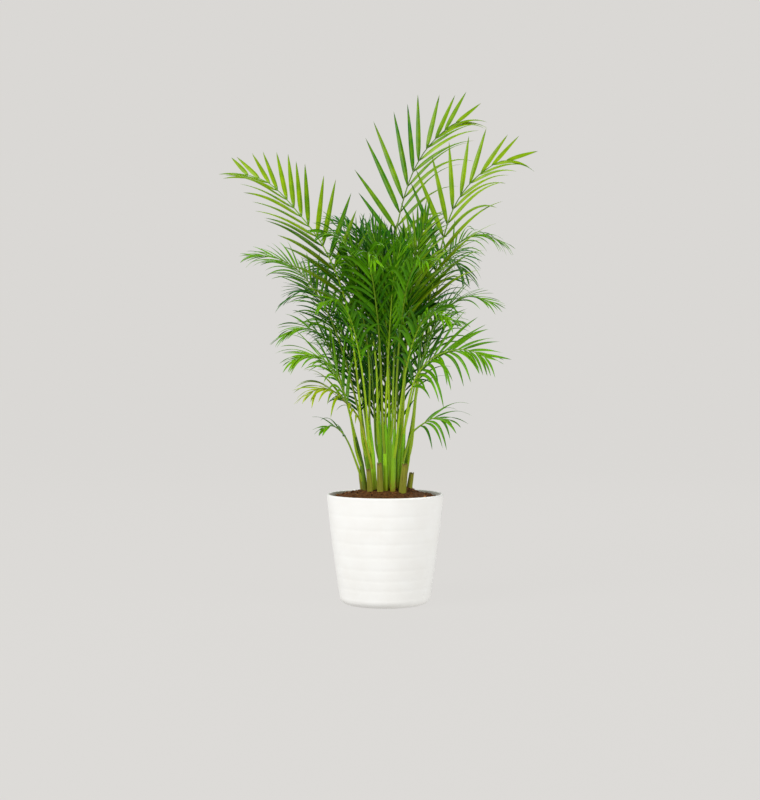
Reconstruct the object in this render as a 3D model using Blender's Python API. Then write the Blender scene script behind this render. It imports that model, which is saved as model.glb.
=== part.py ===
"""Areca palm in a glazed cover pot: pot, soil, canes, old sheath stubs and fronds, each one closed body.

Metres, +Z up, +X to the viewer's right. The origin is the centre of the pot's foot, on the floor.
"""

import math
import random
from dataclasses import dataclass

import bmesh
import bpy
import numpy as np
from mathutils import Vector
from mathutils.bvhtree import BVHTree

# Pot: a turned cover pot with no drainage hole
RIM_RADIUS = 0.1365
RIM_HEIGHT = 0.2545
LIP = 0.007
WALL = 0.0065
FOOT_RADIUS = 0.088
CORNER_RADIUS = 0.020
SIDE_BASE_RADIUS = 0.1070
FLOOR_THICKNESS = 0.012
BELLY = 0.0015
INSIDE_FOOT_RADIUS = 0.085
POT_SEGMENTS = 44

# Soil
SOIL_EDGE_DROP = 0.012
SOIL_MOUND = 0.026
SOIL_DEPTH = 0.10
SOIL_SEGMENTS = 32
SOIL_RINGS = 5
LUMP_PLACE = (0.052, -0.004)
LUMP_HEIGHT = 0.007
LUMP_SPREAD = 0.0224
RIPPLE_HEIGHT = 0.0013

# Growth
GAP = 0.0003
POCKET_DEPTH = 0.030
POCKET_SLACK = 1.25
CANE_TAPER = (1.05, 1.18, 1.06, 0.98, 0.86, 0.66)
CANE_SIDES = 8
CANE_LEAN_LATE = 0.12
STUB_TAPER = (0.95, 1.10, 1.0, 0.82)
STUB_FLATNESS = 0.30
PETIOLE_RADIUS = 0.0027
RACHIS_TIP_RADIUS = 0.0008
STALK_CORNER = PETIOLE_RADIUS * math.sqrt(2.0)
FORK_STEP = 0.036
FORK_GAP = 0.0009
SPACER_STEP = 0.060
BLADE_LEAN = 0.35
STALK_LEAN = 0.90
STALK_TAPER = 0.8
LEAFLET_THICKNESS = 0.0016
LEAFLET_SAG = 1.9
LEAFLET_STEPS = 12
BROAD_SHARE = 0.38
OUTER_BREADTH = 0.72
ANGLE_CLOSING = 0.62
LENGTH_LOSS = 0.62
TIP_MARGIN = 0.006
LEAFLET_BASE = 0.007
TWO_BENDS = 0.110
CLEARANCE = 0.0006

UP = Vector((0.0, 0.0, 1.0))


@dataclass(frozen=True)
class Cane:
    """A sheathed stem: foot on the soil, top where its petioles part."""

    name: str
    foot: tuple
    top: tuple
    radius: float


@dataclass(frozen=True)
class Stub:
    """The cut base of an old leaf: foot on the soil, its leaning top and its radius."""

    name: str
    foot: tuple
    lean: tuple
    height: float
    radius: float


@dataclass(frozen=True)
class Frond:
    """One leaf: its cane, the route of its midrib, the way its upper side faces and its leaflets."""

    name: str
    cane: str
    route: tuple
    face: tuple
    bare: float
    pairs: int
    leaflet: float
    width: float
    spread: tuple
    rise: float
    droop: tuple
    green: str


CANES = (
    Cane("cane_a", (-0.046, -0.012), (-0.068, -0.018, 0.3865), 0.0050),
    Cane("cane_b", (-0.034, 0.006), (-0.052, 0.010, 0.4065), 0.0050),
    Cane("cane_c", (-0.026, 0.030), (-0.040, 0.052, 0.3865), 0.0052),
    Cane("cane_d", (-0.024, -0.024), (-0.036, -0.036, 0.4165), 0.0054),
    Cane("cane_e", (-0.010, 0.004), (-0.014, 0.004, 0.4365), 0.0050),
    Cane("cane_f", (0.002, -0.032), (0.000, -0.044, 0.4165), 0.0056),
    Cane("cane_g", (0.012, -0.008), (0.010, -0.006, 0.4465), 0.0052),
    Cane("cane_h", (0.036, -0.024), (0.044, -0.036, 0.3965), 0.0052),
    Cane("cane_i", (0.044, 0.014), (0.060, 0.018, 0.3965), 0.0052),
    Cane("cane_j", (-0.002, 0.036), (-0.006, 0.058, 0.4065), 0.0052),
    Cane("cane_k", (0.024, 0.030), (0.034, 0.052, 0.4165), 0.0050),
    Cane("cane_l", (0.018, -0.040), (0.022, -0.054, 0.4065), 0.0054),
    Cane("cane_m", (0.030, 0.002), (0.038, 0.002, 0.4265), 0.0050),
    Cane("cane_n", (0.008, 0.019), (0.010, 0.026, 0.4365), 0.0048),
)

STUBS = (
    Stub("stub_a", (-0.011, -0.045), (-0.002, -0.004), 0.066, 0.0066),
    Stub("stub_b", (0.040, -0.045), (0.006, -0.003), 0.066, 0.0080),
    Stub("stub_c", (-0.034, -0.040), (-0.004, -0.005), 0.052, 0.0062),
    Stub("stub_d", (0.057, -0.006), (0.005, -0.001), 0.036, 0.0062),
    Stub("stub_e", (-0.051, 0.017), (-0.006, 0.003), 0.046, 0.0066),
)

FRONDS = (
    Frond("frond_crown", "cane_n",
          ((0.012, 0.026, 0.5465), (0.014, 0.036, 0.6865), (0.018, 0.044, 0.7925),
           (0.030, 0.050, 0.8865), (0.058, 0.060, 0.9885), (0.096, 0.062, 1.0605),
           (0.148, 0.066, 1.1135), (0.176, 0.070, 1.1295)),
          (-0.35, -0.85, 0.25), 0.54, 14, 0.195, 0.0160, (64.0, 36.0), 10.0, (0.00, 0.72), "bright"),
    Frond("frond_right_high", "cane_i",
          ((0.078, 0.004, 0.5465), (0.093, -0.010, 0.6575), (0.120, -0.020, 0.7845),
           (0.152, -0.030, 0.9015), (0.197, -0.040, 0.9715), (0.254, -0.048, 1.0145),
           (0.284, -0.050, 1.0205)),
          (-0.20, -0.90, 0.30), 0.46, 14, 0.180, 0.0160, (62.0, 38.0), 10.0, (0.02, 0.66), "bright"),
    Frond("frond_left_high", "cane_b",
          ((-0.066, -0.010, 0.5415), (-0.092, -0.020, 0.7035), (-0.138, -0.028, 0.8185),
           (-0.196, -0.030, 0.8985), (-0.262, -0.020, 0.9685), (-0.322, -0.008, 0.9945)),
          (0.15, -0.80, 0.55), 0.44, 15, 0.165, 0.0160, (40.0, 64.0), 10.0, (0.42, 0.02), "bright"),
    Frond("frond_left_mid", "cane_b",
          ((-0.080, 0.026, 0.5185), (-0.112, 0.044, 0.6225), (-0.146, 0.056, 0.6985),
           (-0.200, 0.064, 0.7725), (-0.260, 0.070, 0.8085), (-0.312, 0.075, 0.8125)),
          (-0.10, -0.45, 0.90), 0.44, 13, 0.125, 0.0130, (46.0, 50.0), 8.0, (0.45, 0.25), "mid"),
    Frond("frond_left_low_a", "cane_a",
          ((-0.090, -0.016, 0.4725), (-0.114, -0.024, 0.5535), (-0.134, -0.032, 0.6045),
           (-0.162, -0.044, 0.6325), (-0.200, -0.058, 0.6365), (-0.232, -0.068, 0.6185)),
          (0.00, -0.40, 0.90), 0.42, 10, 0.105, 0.0120, (44.0, 44.0), 10.0, (0.50, 0.40), "mid"),
    Frond("frond_left_low_b", "cane_a",
          ((-0.080, -0.036, 0.4365), (-0.094, -0.054, 0.4885), (-0.114, -0.072, 0.5345),
           (-0.138, -0.092, 0.5645), (-0.170, -0.112, 0.5765), (-0.204, -0.132, 0.5645)),
          (-0.10, -0.65, 0.75), 0.36, 10, 0.130, 0.0140, (42.0, 42.0), 10.0, (0.55, 0.40), "pale"),
    Frond("frond_left_low_c", "cane_d",
          ((-0.058, -0.050, 0.4265), (-0.084, -0.078, 0.4625), (-0.114, -0.106, 0.4925),
           (-0.145, -0.134, 0.5005), (-0.174, -0.162, 0.4865)),
          (-0.10, -0.50, 0.85), 0.34, 8, 0.115, 0.0130, (42.0, 42.0), 12.0, (0.70, 0.55), "yellow"),
    Frond("frond_left_small", "cane_a",
          ((-0.083, -0.026, 0.3705), (-0.101, -0.040, 0.4005), (-0.122, -0.058, 0.4145),
           (-0.144, -0.076, 0.4065)),
          (0.00, -0.50, 0.85), 0.50, 5, 0.070, 0.0120, (46.0, 46.0), 12.0, (0.50, 0.50), "mid"),
    Frond("frond_right_mid", "cane_i",
          ((0.072, -0.020, 0.4955), (0.093, -0.040, 0.5875), (0.114, -0.052, 0.6445),
           (0.142, -0.064, 0.6845), (0.190, -0.082, 0.7085), (0.240, -0.100, 0.6945)),
          (0.00, -0.40, 0.90), 0.42, 12, 0.115, 0.0120, (42.0, 44.0), 8.0, (0.25, 0.60), "mid"),
    Frond("frond_right_low", "cane_h",
          ((0.052, -0.058, 0.4565), (0.066, -0.086, 0.5165), (0.092, -0.108, 0.5565),
           (0.130, -0.130, 0.5805), (0.180, -0.154, 0.5865), (0.224, -0.174, 0.5685)),
          (-0.10, -0.75, 0.60), 0.34, 11, 0.138, 0.0130, (46.0, 54.0), 12.0, (0.20, 1.00), "mid"),
    Frond("frond_right_small", "cane_h",
          ((0.062, -0.046, 0.3965), (0.086, -0.060, 0.4185), (0.112, -0.072, 0.4325),
           (0.144, -0.084, 0.4285)),
          (0.00, -0.60, 0.80), 0.46, 6, 0.105, 0.0100, (30.0, 40.0), 6.0, (0.55, 1.25), "mid"),
    Frond("frond_right_fine", "cane_i",
          ((0.074, 0.028, 0.4865), (0.094, 0.042, 0.5985), (0.123, 0.060, 0.7315),
           (0.148, 0.076, 0.7985), (0.181, 0.090, 0.8485), (0.228, 0.108, 0.8665),
           (0.284, 0.128, 0.8505)),
          (0.00, -0.30, 0.95), 0.46, 14, 0.120, 0.0100, (48.0, 50.0), 6.0, (0.55, 0.85), "mid"),
    Frond("frond_centre_front", "cane_f",
          ((-0.008, -0.056, 0.5065), (-0.014, -0.078, 0.6265), (-0.026, -0.110, 0.7315),
           (-0.038, -0.150, 0.7865), (-0.036, -0.196, 0.7985), (-0.022, -0.240, 0.7765)),
          (-0.15, -0.50, 0.85), 0.46, 12, 0.140, 0.0130, (40.0, 44.0), 12.0, (0.60, 0.60), "mid"),
    Frond("frond_centre_right", "cane_m",
          ((0.046, -0.018, 0.5265), (0.052, -0.034, 0.6365), (0.060, -0.048, 0.7315),
           (0.072, -0.062, 0.8165), (0.094, -0.076, 0.8785)),
          (0.25, -0.90, 0.35), 0.38, 12, 0.160, 0.0140, (38.0, 40.0), 10.0, (0.15, 0.40), "bright"),
    Frond("frond_centre_left", "cane_e",
          ((-0.020, -0.008, 0.5465), (-0.036, -0.026, 0.6665), (-0.060, -0.052, 0.7665),
           (-0.094, -0.084, 0.8315), (-0.136, -0.118, 0.8485)),
          (0.00, -0.65, 0.75), 0.42, 12, 0.150, 0.0130, (38.0, 38.0), 12.0, (0.50, 0.35), "mid"),
    Frond("frond_centre_tall", "cane_e",
          ((-0.014, 0.020, 0.5865), (-0.020, 0.030, 0.6965), (-0.032, 0.040, 0.7965),
           (-0.052, 0.052, 0.8645)),
          (0.10, -0.95, 0.20), 0.38, 12, 0.140, 0.0130, (36.0, 36.0), 10.0, (0.30, 0.30), "deep"),
    Frond("frond_front", "cane_l",
          ((0.026, -0.068, 0.5065), (0.034, -0.092, 0.6265), (0.048, -0.128, 0.7265),
           (0.068, -0.174, 0.7785), (0.088, -0.222, 0.7785)),
          (0.05, -0.55, 0.85), 0.44, 12, 0.145, 0.0130, (38.0, 38.0), 12.0, (0.50, 0.55), "mid"),
    Frond("frond_front_low", "cane_l",
          ((0.036, -0.074, 0.4665), (0.052, -0.106, 0.5665), (0.076, -0.150, 0.6385),
           (0.106, -0.200, 0.6665), (0.138, -0.246, 0.6505)),
          (0.10, -0.45, 0.90), 0.44, 10, 0.125, 0.0120, (40.0, 40.0), 12.0, (0.50, 0.60), "mid"),
    Frond("frond_back_left", "cane_c",
          ((-0.052, 0.072, 0.4865), (-0.072, 0.116, 0.6545), (-0.104, 0.178, 0.7725),
           (-0.146, 0.246, 0.7985), (-0.180, 0.298, 0.7665)),
          (-0.10, 0.20, 0.95), 0.44, 12, 0.150, 0.0140, (46.0, 46.0), 16.0, (0.45, 0.45), "deep"),
    Frond("frond_back", "cane_j",
          ((-0.010, 0.088, 0.5265), (-0.012, 0.134, 0.7065), (-0.004, 0.198, 0.8225),
           (0.012, 0.264, 0.8525), (0.028, 0.322, 0.8225)),
          (0.00, 0.20, 0.95), 0.44, 12, 0.155, 0.0140, (46.0, 46.0), 16.0, (0.42, 0.42), "deep"),
    Frond("frond_back_right", "cane_k",
          ((0.050, 0.078, 0.5265), (0.076, 0.118, 0.6865), (0.114, 0.174, 0.7985),
           (0.166, 0.236, 0.8185), (0.208, 0.282, 0.7825)),
          (0.10, 0.20, 0.95), 0.44, 12, 0.150, 0.0140, (46.0, 46.0), 16.0, (0.45, 0.45), "deep"),
    Frond("frond_back_tall", "cane_j",
          ((-0.020, 0.074, 0.5665), (-0.032, 0.092, 0.7065), (-0.048, 0.114, 0.8125),
           (-0.076, 0.144, 0.8785), (-0.114, 0.178, 0.9065)),
          (0.20, -0.75, 0.55), 0.44, 12, 0.145, 0.0140, (42.0, 42.0), 12.0, (0.40, 0.30), "deep"),
    Frond("frond_centre_back", "cane_n",
          ((0.026, 0.040, 0.5465), (0.032, 0.062, 0.6765), (0.026, 0.086, 0.7905),
           (0.006, 0.106, 0.8645)),
          (0.20, -0.90, 0.30), 0.40, 12, 0.145, 0.0140, (40.0, 40.0), 12.0, (0.32, 0.32), "deep"),
    Frond("frond_left_back", "cane_c",
          ((-0.066, 0.062, 0.5065), (-0.096, 0.080, 0.6125), (-0.136, 0.104, 0.6965),
           (-0.188, 0.134, 0.7345), (-0.236, 0.160, 0.7145)),
          (-0.10, -0.30, 0.95), 0.42, 11, 0.130, 0.0130, (44.0, 44.0), 12.0, (0.50, 0.45), "deep"),
    Frond("frond_centre_low", "cane_d",
          ((-0.046, -0.056, 0.4865), (-0.060, -0.084, 0.5865), (-0.080, -0.120, 0.6625),
           (-0.108, -0.162, 0.6965), (-0.140, -0.202, 0.6865)),
          (-0.10, -0.45, 0.90), 0.44, 11, 0.125, 0.0120, (40.0, 40.0), 12.0, (0.55, 0.50), "mid"),
    Frond("frond_back_low_left", "cane_c",
          ((-0.052, 0.090, 0.4565), (-0.086, 0.134, 0.5765), (-0.128, 0.178, 0.6545),
           (-0.172, 0.220, 0.6605)),
          (-0.15, 0.10, 0.95), 0.40, 10, 0.130, 0.0140, (46.0, 46.0), 14.0, (0.50, 0.50), "mid"),
    Frond("frond_back_low_right", "cane_k",
          ((0.060, 0.082, 0.4565), (0.092, 0.128, 0.5765), (0.132, 0.172, 0.6585),
           (0.178, 0.214, 0.6645)),
          (0.15, 0.10, 0.95), 0.40, 10, 0.130, 0.0140, (46.0, 46.0), 14.0, (0.50, 0.50), "mid"),
    Frond("frond_inner_left", "cane_b",
          ((-0.062, 0.034, 0.4825), (-0.078, 0.052, 0.5525), (-0.104, 0.064, 0.5985),
           (-0.138, 0.072, 0.6185)),
          (-0.05, -0.60, 0.80), 0.34, 9, 0.115, 0.0120, (44.0, 44.0), 12.0, (0.55, 0.40), "deep"),
    Frond("frond_inner_back", "cane_j",
          ((-0.032, 0.062, 0.5025), (-0.052, 0.070, 0.5925), (-0.084, 0.074, 0.6545),
           (-0.122, 0.072, 0.6825)),
          (0.05, -0.70, 0.70), 0.32, 9, 0.120, 0.0120, (44.0, 44.0), 12.0, (0.50, 0.40), "deep"),
    Frond("frond_inner_right", "cane_k",
          ((0.046, 0.050, 0.5065), (0.060, 0.046, 0.5965), (0.078, 0.040, 0.6665),
           (0.108, 0.030, 0.7025)),
          (0.00, -0.70, 0.70), 0.32, 9, 0.120, 0.0120, (44.0, 44.0), 12.0, (0.40, 0.50), "deep"),
    Frond("frond_upright_a", "cane_g",
          ((0.006, -0.018, 0.5665), (0.000, -0.032, 0.6865), (-0.010, -0.046, 0.7825),
           (-0.028, -0.062, 0.8525)),
          (0.05, -0.92, 0.30), 0.38, 12, 0.145, 0.0120, (33.0, 33.0), 8.0, (0.24, 0.24), "mid"),
    Frond("frond_upright_b", "cane_f",
          ((0.006, -0.058, 0.5465), (0.012, -0.070, 0.6565), (0.020, -0.084, 0.7525),
           (0.036, -0.102, 0.8245)),
          (0.05, -0.90, 0.35), 0.38, 11, 0.140, 0.0120, (33.0, 33.0), 8.0, (0.28, 0.28), "mid"),
    Frond("frond_upright_c", "cane_m",
          ((0.046, 0.010, 0.5665), (0.058, 0.012, 0.6865), (0.076, 0.010, 0.7865),
           (0.104, 0.004, 0.8605)),
          (-0.05, -0.92, 0.30), 0.38, 12, 0.145, 0.0120, (33.0, 33.0), 8.0, (0.24, 0.28), "mid"),
    Frond("frond_upright_d", "cane_d",
          ((-0.036, -0.040, 0.5465), (-0.048, -0.050, 0.6505), (-0.066, -0.060, 0.7385),
           (-0.096, -0.070, 0.8025)),
          (0.05, -0.90, 0.35), 0.38, 11, 0.140, 0.0120, (33.0, 33.0), 8.0, (0.28, 0.24), "mid"),
    Frond("frond_upright_e", "cane_g",
          ((0.020, -0.016, 0.5465), (0.026, -0.026, 0.6565), (0.034, -0.034, 0.7565),
           (0.046, -0.040, 0.8325)),
          (0.00, -0.92, 0.30), 0.36, 12, 0.140, 0.0120, (33.0, 33.0), 8.0, (0.26, 0.26), "deep"),
    Frond("frond_spear_a", "cane_e",
          ((-0.027, 0.006, 0.4865), (-0.031, 0.009, 0.5465), (-0.037, 0.012, 0.6045)),
          (0.05, -0.95, 0.15), 0.26, 6, 0.095, 0.0100, (26.0, 26.0), 6.0, (0.20, 0.20), "deep"),
    Frond("frond_spear_b", "cane_n",
          ((0.001, 0.034, 0.4865), (-0.001, 0.038, 0.5465), (-0.004, 0.042, 0.6065)),
          (0.00, -0.95, 0.15), 0.26, 6, 0.095, 0.0100, (26.0, 26.0), 6.0, (0.20, 0.20), "deep"),
    Frond("frond_spear_c", "cane_m",
          ((0.030, 0.010, 0.4865), (0.027, 0.014, 0.5465), (0.025, 0.018, 0.6025)),
          (0.05, -0.95, 0.15), 0.26, 6, 0.095, 0.0100, (26.0, 26.0), 6.0, (0.20, 0.20), "deep"),
)

GREENS = {
    "bright": (0.200, 0.360, 0.025),
    "mid": (0.100, 0.260, 0.020),
    "deep": (0.045, 0.160, 0.014),
    "pale": (0.180, 0.330, 0.060),
    "yellow": (0.300, 0.360, 0.040),
}


def clear_scene():
    """Removes whatever the scene holds, so that a second run gives the same model."""
    for old in list(bpy.data.objects):
        bpy.data.objects.remove(old, do_unlink=True)


def make_material(name, colour, roughness):
    """A Principled material of one plain colour."""
    material = bpy.data.materials.new(name)
    material.use_nodes = True
    shader = material.node_tree.nodes["Principled BSDF"]
    shader.inputs["Base Color"].default_value = (*colour, 1.0)
    shader.inputs["Roughness"].default_value = roughness
    return material


def finish_object(name, bm, material, smooth_angle=None):
    """Turns a closed bmesh into a named object with its material, and shades it smooth if asked."""
    bmesh.ops.recalc_face_normals(bm, faces=bm.faces)
    mesh = bpy.data.meshes.new(name)
    bm.to_mesh(mesh)
    bm.free()
    mesh.materials.append(material)
    if smooth_angle is not None:
        mesh.shade_smooth()
        mesh.set_sharp_from_angle(angle=smooth_angle)
    thing = bpy.data.objects.new(name, mesh)
    bpy.context.scene.collection.objects.link(thing)
    return thing


def turn(profile, segments):
    """Spins a closed outline of (radius, height) points, both ends on the axis, into a closed body."""
    bm = bmesh.new()
    verts = [bm.verts.new((radius, 0.0, height)) for radius, height in profile]
    edges = [bm.edges.new(pair) for pair in zip(verts, verts[1:])]
    bmesh.ops.spin(bm, geom=verts + edges, cent=(0.0, 0.0, 0.0), axis=UP,
                   angle=2.0 * math.pi, steps=segments, use_duplicate=False)
    bmesh.ops.remove_doubles(bm, verts=bm.verts, dist=0.00001)
    return bm


def arc(centre, radius, start, end, steps):
    """Points of a circular arc in the (radius, height) plane, angles in degrees."""
    points = []
    for step in range(steps + 1):
        angle = math.radians(start + (end - start) * step / steps)
        points.append((centre[0] + radius * math.cos(angle), centre[1] + radius * math.sin(angle)))
    return points


def side_radius(height):
    """Outer radius of the pot's flared side, which swells slightly between its foot and its rim."""
    share = (height - CORNER_RADIUS) / (RIM_HEIGHT - CORNER_RADIUS)
    straight = SIDE_BASE_RADIUS + (RIM_RADIUS - SIDE_BASE_RADIUS) * share
    return straight + BELLY * math.sin(math.pi * share)


def build_pot():
    """The cover pot: flat foot, rounded bottom corner, flared side and a rounded lip."""
    outline = [(0.0, 0.0), (FOOT_RADIUS, 0.0)]
    corner = arc((SIDE_BASE_RADIUS - CORNER_RADIUS, CORNER_RADIUS), CORNER_RADIUS, -90.0, 0.0, 4)
    outline += corner[1:]
    for share in (0.25, 0.5, 0.75):
        height = CORNER_RADIUS + (RIM_HEIGHT - LIP - CORNER_RADIUS) * share
        outline.append((side_radius(height), height))
    outline += arc((RIM_RADIUS - LIP / 2.0, RIM_HEIGHT - LIP / 2.0), LIP / 2.0, 0.0, 180.0, 4)
    for share in (0.7, 0.35):
        height = RIM_HEIGHT * share
        outline.append((side_radius(height) - WALL, height))
    outline += [(INSIDE_FOOT_RADIUS, FLOOR_THICKNESS), (0.0, FLOOR_THICKNESS)]
    glaze = make_material("white_glaze", (0.86, 0.85, 0.82), 0.22)
    return finish_object("pot", turn(outline, POT_SEGMENTS), glaze, math.radians(40.0))


def soil_height(x, y):
    """Height of the soil's surface: a mound round the clump with a few soft lumps."""
    reach = min(1.0, math.hypot(x, y) / RIM_RADIUS)
    level = RIM_HEIGHT - SOIL_EDGE_DROP + SOIL_MOUND * (1.0 - reach ** 1.5)
    away = math.hypot(x - LUMP_PLACE[0], y - LUMP_PLACE[1])
    lump = LUMP_HEIGHT * math.exp(-(away / LUMP_SPREAD) ** 2)
    ripple = RIPPLE_HEIGHT * math.sin(95.0 * x + 1.3) * math.cos(88.0 * y - 0.4)
    return level + lump + ripple


def build_soil(pockets):
    """The plug of soil, with one pocket for each cane and stub that stands in it."""
    bottom = RIM_HEIGHT - SOIL_EDGE_DROP - SOIL_DEPTH
    bm = bmesh.new()
    inner_top = side_radius(RIM_HEIGHT - SOIL_EDGE_DROP) - WALL - 3.0 * GAP
    inner_low = side_radius(bottom) - WALL - 3.0 * GAP
    crown = bm.verts.new((0.0, 0.0, soil_height(0.0, 0.0)))
    rings = []
    for ring in range(1, SOIL_RINGS + 1):
        radius = inner_top * ring / SOIL_RINGS
        rings.append(soil_ring(bm, radius, None))
    rings.append(soil_ring(bm, inner_low, bottom))
    for index in range(SOIL_SEGMENTS):
        after = (index + 1) % SOIL_SEGMENTS
        bm.faces.new((crown, rings[0][index], rings[0][after]))
        for upper, lower in zip(rings, rings[1:]):
            bm.faces.new((upper[index], lower[index], lower[after], upper[after]))
    bm.faces.new(rings[-1][::-1])
    earth = make_material("potting_soil", (0.085, 0.050, 0.024), 0.95)
    soil = finish_object("soil", bm, earth, math.radians(50.0))
    for pocket in pockets:
        cut = soil.modifiers.new(pocket.name, "BOOLEAN")
        cut.operation = "DIFFERENCE"
        cut.object = pocket
    return soil


def soil_ring(bm, radius, height):
    """One ring of the soil plug: on the surface, or level at the height given."""
    ring = []
    for index in range(SOIL_SEGMENTS):
        angle = 2.0 * math.pi * index / SOIL_SEGMENTS
        x = radius * math.cos(angle)
        y = radius * math.sin(angle)
        ring.append(bm.verts.new((x, y, soil_height(x, y) if height is None else height)))
    return ring


def sweep(centres, radii, sides, flat_side=0.0):
    """A closed tube through the centres, one ring of the given radius at each."""
    bm = bmesh.new()
    rings = []
    for index, (centre, radius) in enumerate(zip(centres, radii)):
        before = centres[max(index - 1, 0)]
        after = centres[min(index + 1, len(centres) - 1)]
        along = (after - before).normalized()
        across = along.cross(Vector((0.0, 1.0, 0.0))).normalized()
        other = along.cross(across)
        ring = []
        for side in range(sides):
            angle = 2.0 * math.pi * side / sides
            squash = 1.0 - flat_side * abs(math.sin(angle))
            ring.append(bm.verts.new(centre + across * (radius * math.cos(angle))
                                     + other * (radius * squash * math.sin(angle))))
        rings.append(ring)
    for low, high in zip(rings, rings[1:]):
        for side in range(sides):
            after = (side + 1) % sides
            bm.faces.new((low[side], low[after], high[after], high[side]))
    bm.faces.new(rings[0][::-1])
    bm.faces.new(rings[-1])
    return bm


def cane_centres(cane):
    """Centre line of a cane: from the bottom of its pocket, leaning outward more and more."""
    ground = soil_height(*cane.foot)
    foot = Vector((*cane.foot, ground))
    top = Vector(cane.top)
    knee = foot.lerp(top, 0.5) - Vector((top.x - foot.x, top.y - foot.y, 0.0)) * CANE_LEAN_LATE
    rooted = foot - UP * (POCKET_DEPTH - 2.0 * GAP)
    return [rooted, foot, foot.lerp(knee, 0.55), knee, knee.lerp(top, 0.55), top]


def build_cane(cane):
    """A cane: swollen at the foot, with the sheaths' slight waist and a narrowing top."""
    radii = [cane.radius * share for share in CANE_TAPER]
    bm = sweep(cane_centres(cane), radii, CANE_SIDES)
    skin = make_material(cane.name + "_sheath", (0.330, 0.400, 0.060), 0.45)
    return finish_object(cane.name, bm, skin, math.radians(50.0))


def stub_centres(stub):
    """Centre line of a stub, from the bottom of its pocket to its cut top."""
    ground = soil_height(*stub.foot)
    foot = Vector((*stub.foot, ground))
    top = foot + Vector((*stub.lean, stub.height))
    return [foot - UP * (POCKET_DEPTH - 2.0 * GAP), foot, foot.lerp(top, 0.55), top]


def build_stub(stub):
    """An old leaf base: a flattened, drying sheath cut off short."""
    radii = [stub.radius * share for share in STUB_TAPER]
    bm = sweep(stub_centres(stub), radii, CANE_SIDES, flat_side=STUB_FLATNESS)
    skin = make_material(stub.name + "_sheath", (0.330, 0.250, 0.060), 0.70)
    return finish_object(stub.name, bm, skin, math.radians(50.0))


def build_pocket(name, foot, held_radius):
    """The cutter for a pocket in the soil, a little wider than what stands in it."""
    radius = held_radius * POCKET_SLACK + 2.0 * GAP
    ground = soil_height(*foot)
    low = Vector((*foot, ground - POCKET_DEPTH))
    high = Vector((*foot, ground + POCKET_DEPTH))
    pocket = finish_object(name, sweep([low, high], [radius, radius], CANE_SIDES), None)
    pocket.hide_render = True
    pocket.display_type = "WIRE"
    return pocket


def smooth_route(points, step):
    """Smooth curve through the points (Catmull-Rom), sampled about every step."""
    padded = [points[0] * 2.0 - points[1], *points, points[-1] * 2.0 - points[-2]]
    curve = []
    for before, start, end, after in zip(padded, padded[1:], padded[2:], padded[3:]):
        count = max(2, round((end - start).length / step))
        for index in range(count):
            t = index / count
            curve.append(0.5 * ((2.0 * start) + (end - before) * t
                                + (2.0 * before - 5.0 * start + 4.0 * end - after) * t * t
                                + (3.0 * start - before - 3.0 * end + after) * t * t * t))
    curve.append(points[-1].copy())
    return curve


class Midrib:
    """The route of a frond's midrib, by arc length, with its side and upper directions."""

    def __init__(self, frond, start):
        """Samples the route from its start above the cane to its last point."""
        route = [start] + [Vector(point) for point in frond.route]
        self.points = smooth_route(route, 0.004)
        self.lengths = [0.0]
        for low, high in zip(self.points, self.points[1:]):
            self.lengths.append(self.lengths[-1] + (high - low).length)
        self.face = Vector(frond.face).normalized()
        reach = Vector(frond.route[-1]) - Vector(frond.route[0])
        self.outward = Vector((reach.x, reach.y, 0.0)).normalized()
        self.bare = frond.bare

    def place(self, share):
        """Point, tangent, left and upper directions at a share of the length."""
        goal = min(share, 1.0) * self.lengths[-1]
        index = int(np.searchsorted(self.lengths, goal, side="right")) - 1
        index = min(max(index, 0), len(self.points) - 2)
        span = self.lengths[index + 1] - self.lengths[index]
        point = self.points[index].lerp(self.points[index + 1], (goal - self.lengths[index]) / span)
        low = self.points[max(index - 2, 0)]
        high = self.points[min(index + 3, len(self.points) - 1)]
        along = (high - low).normalized()
        stalk_share = max(0.0, 1.0 - share / self.bare)
        facing = self.face - self.outward * (BLADE_LEAN + STALK_LEAN * stalk_share)
        upper = (facing - along * along.dot(facing)).normalized()
        return point, along, upper.cross(along), upper

    def radius(self, share):
        """Radius of the stalk: thick at the petiole, thin at the tip."""
        left_over = (1.0 - min(share, 1.0)) ** STALK_TAPER
        return RACHIS_TIP_RADIUS + (PETIOLE_RADIUS - RACHIS_TIP_RADIUS) * left_over

    def ring(self, share):
        """Four corners of the stalk: lower right, lower left, upper left, upper right."""
        point, _, left, upper = self.place(share)
        half = self.radius(share)
        low = left * half
        high = low * STALK_TAPER
        rise = upper * half
        return [point - low - rise, point + low - rise, point + high + rise, point - high + rise]


def both_ways(corner, neighbour, up):
    """Triangles of one side of a tube, cut both ways, because a bent side may be cut either way."""
    return [(corner, neighbour, neighbour + up), (corner, neighbour + up, corner + up),
            (corner, neighbour, corner + up), (neighbour, neighbour + up, corner + up)]


@dataclass
class Leaflet:
    """One leaflet: where its base sits, and the rings of its three-cornered blade out to its tip."""

    share: float
    side: int
    rings: list
    tip: Vector

    def shell(self, base):
        """Corners and triangles of the blade, grown by the clearance, to test for contact."""
        corners = list(base)
        for ring in self.rings:
            middle = sum(ring, Vector()) / 3.0
            corners += [corner + (corner - middle).normalized() * CLEARANCE for corner in ring]
        faces = []
        for level in range(len(self.rings)):
            low = 3 * level
            for corner in range(3):
                faces += both_ways(low + corner, low + (corner + 1) % 3, 3)
        last = 3 * len(self.rings)
        corners.append(self.tip + (self.tip - corners[last]).normalized() * CLEARANCE)
        faces += [(last + corner, last + (corner + 1) % 3, last + 3) for corner in range(3)]
        return corners, faces


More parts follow.
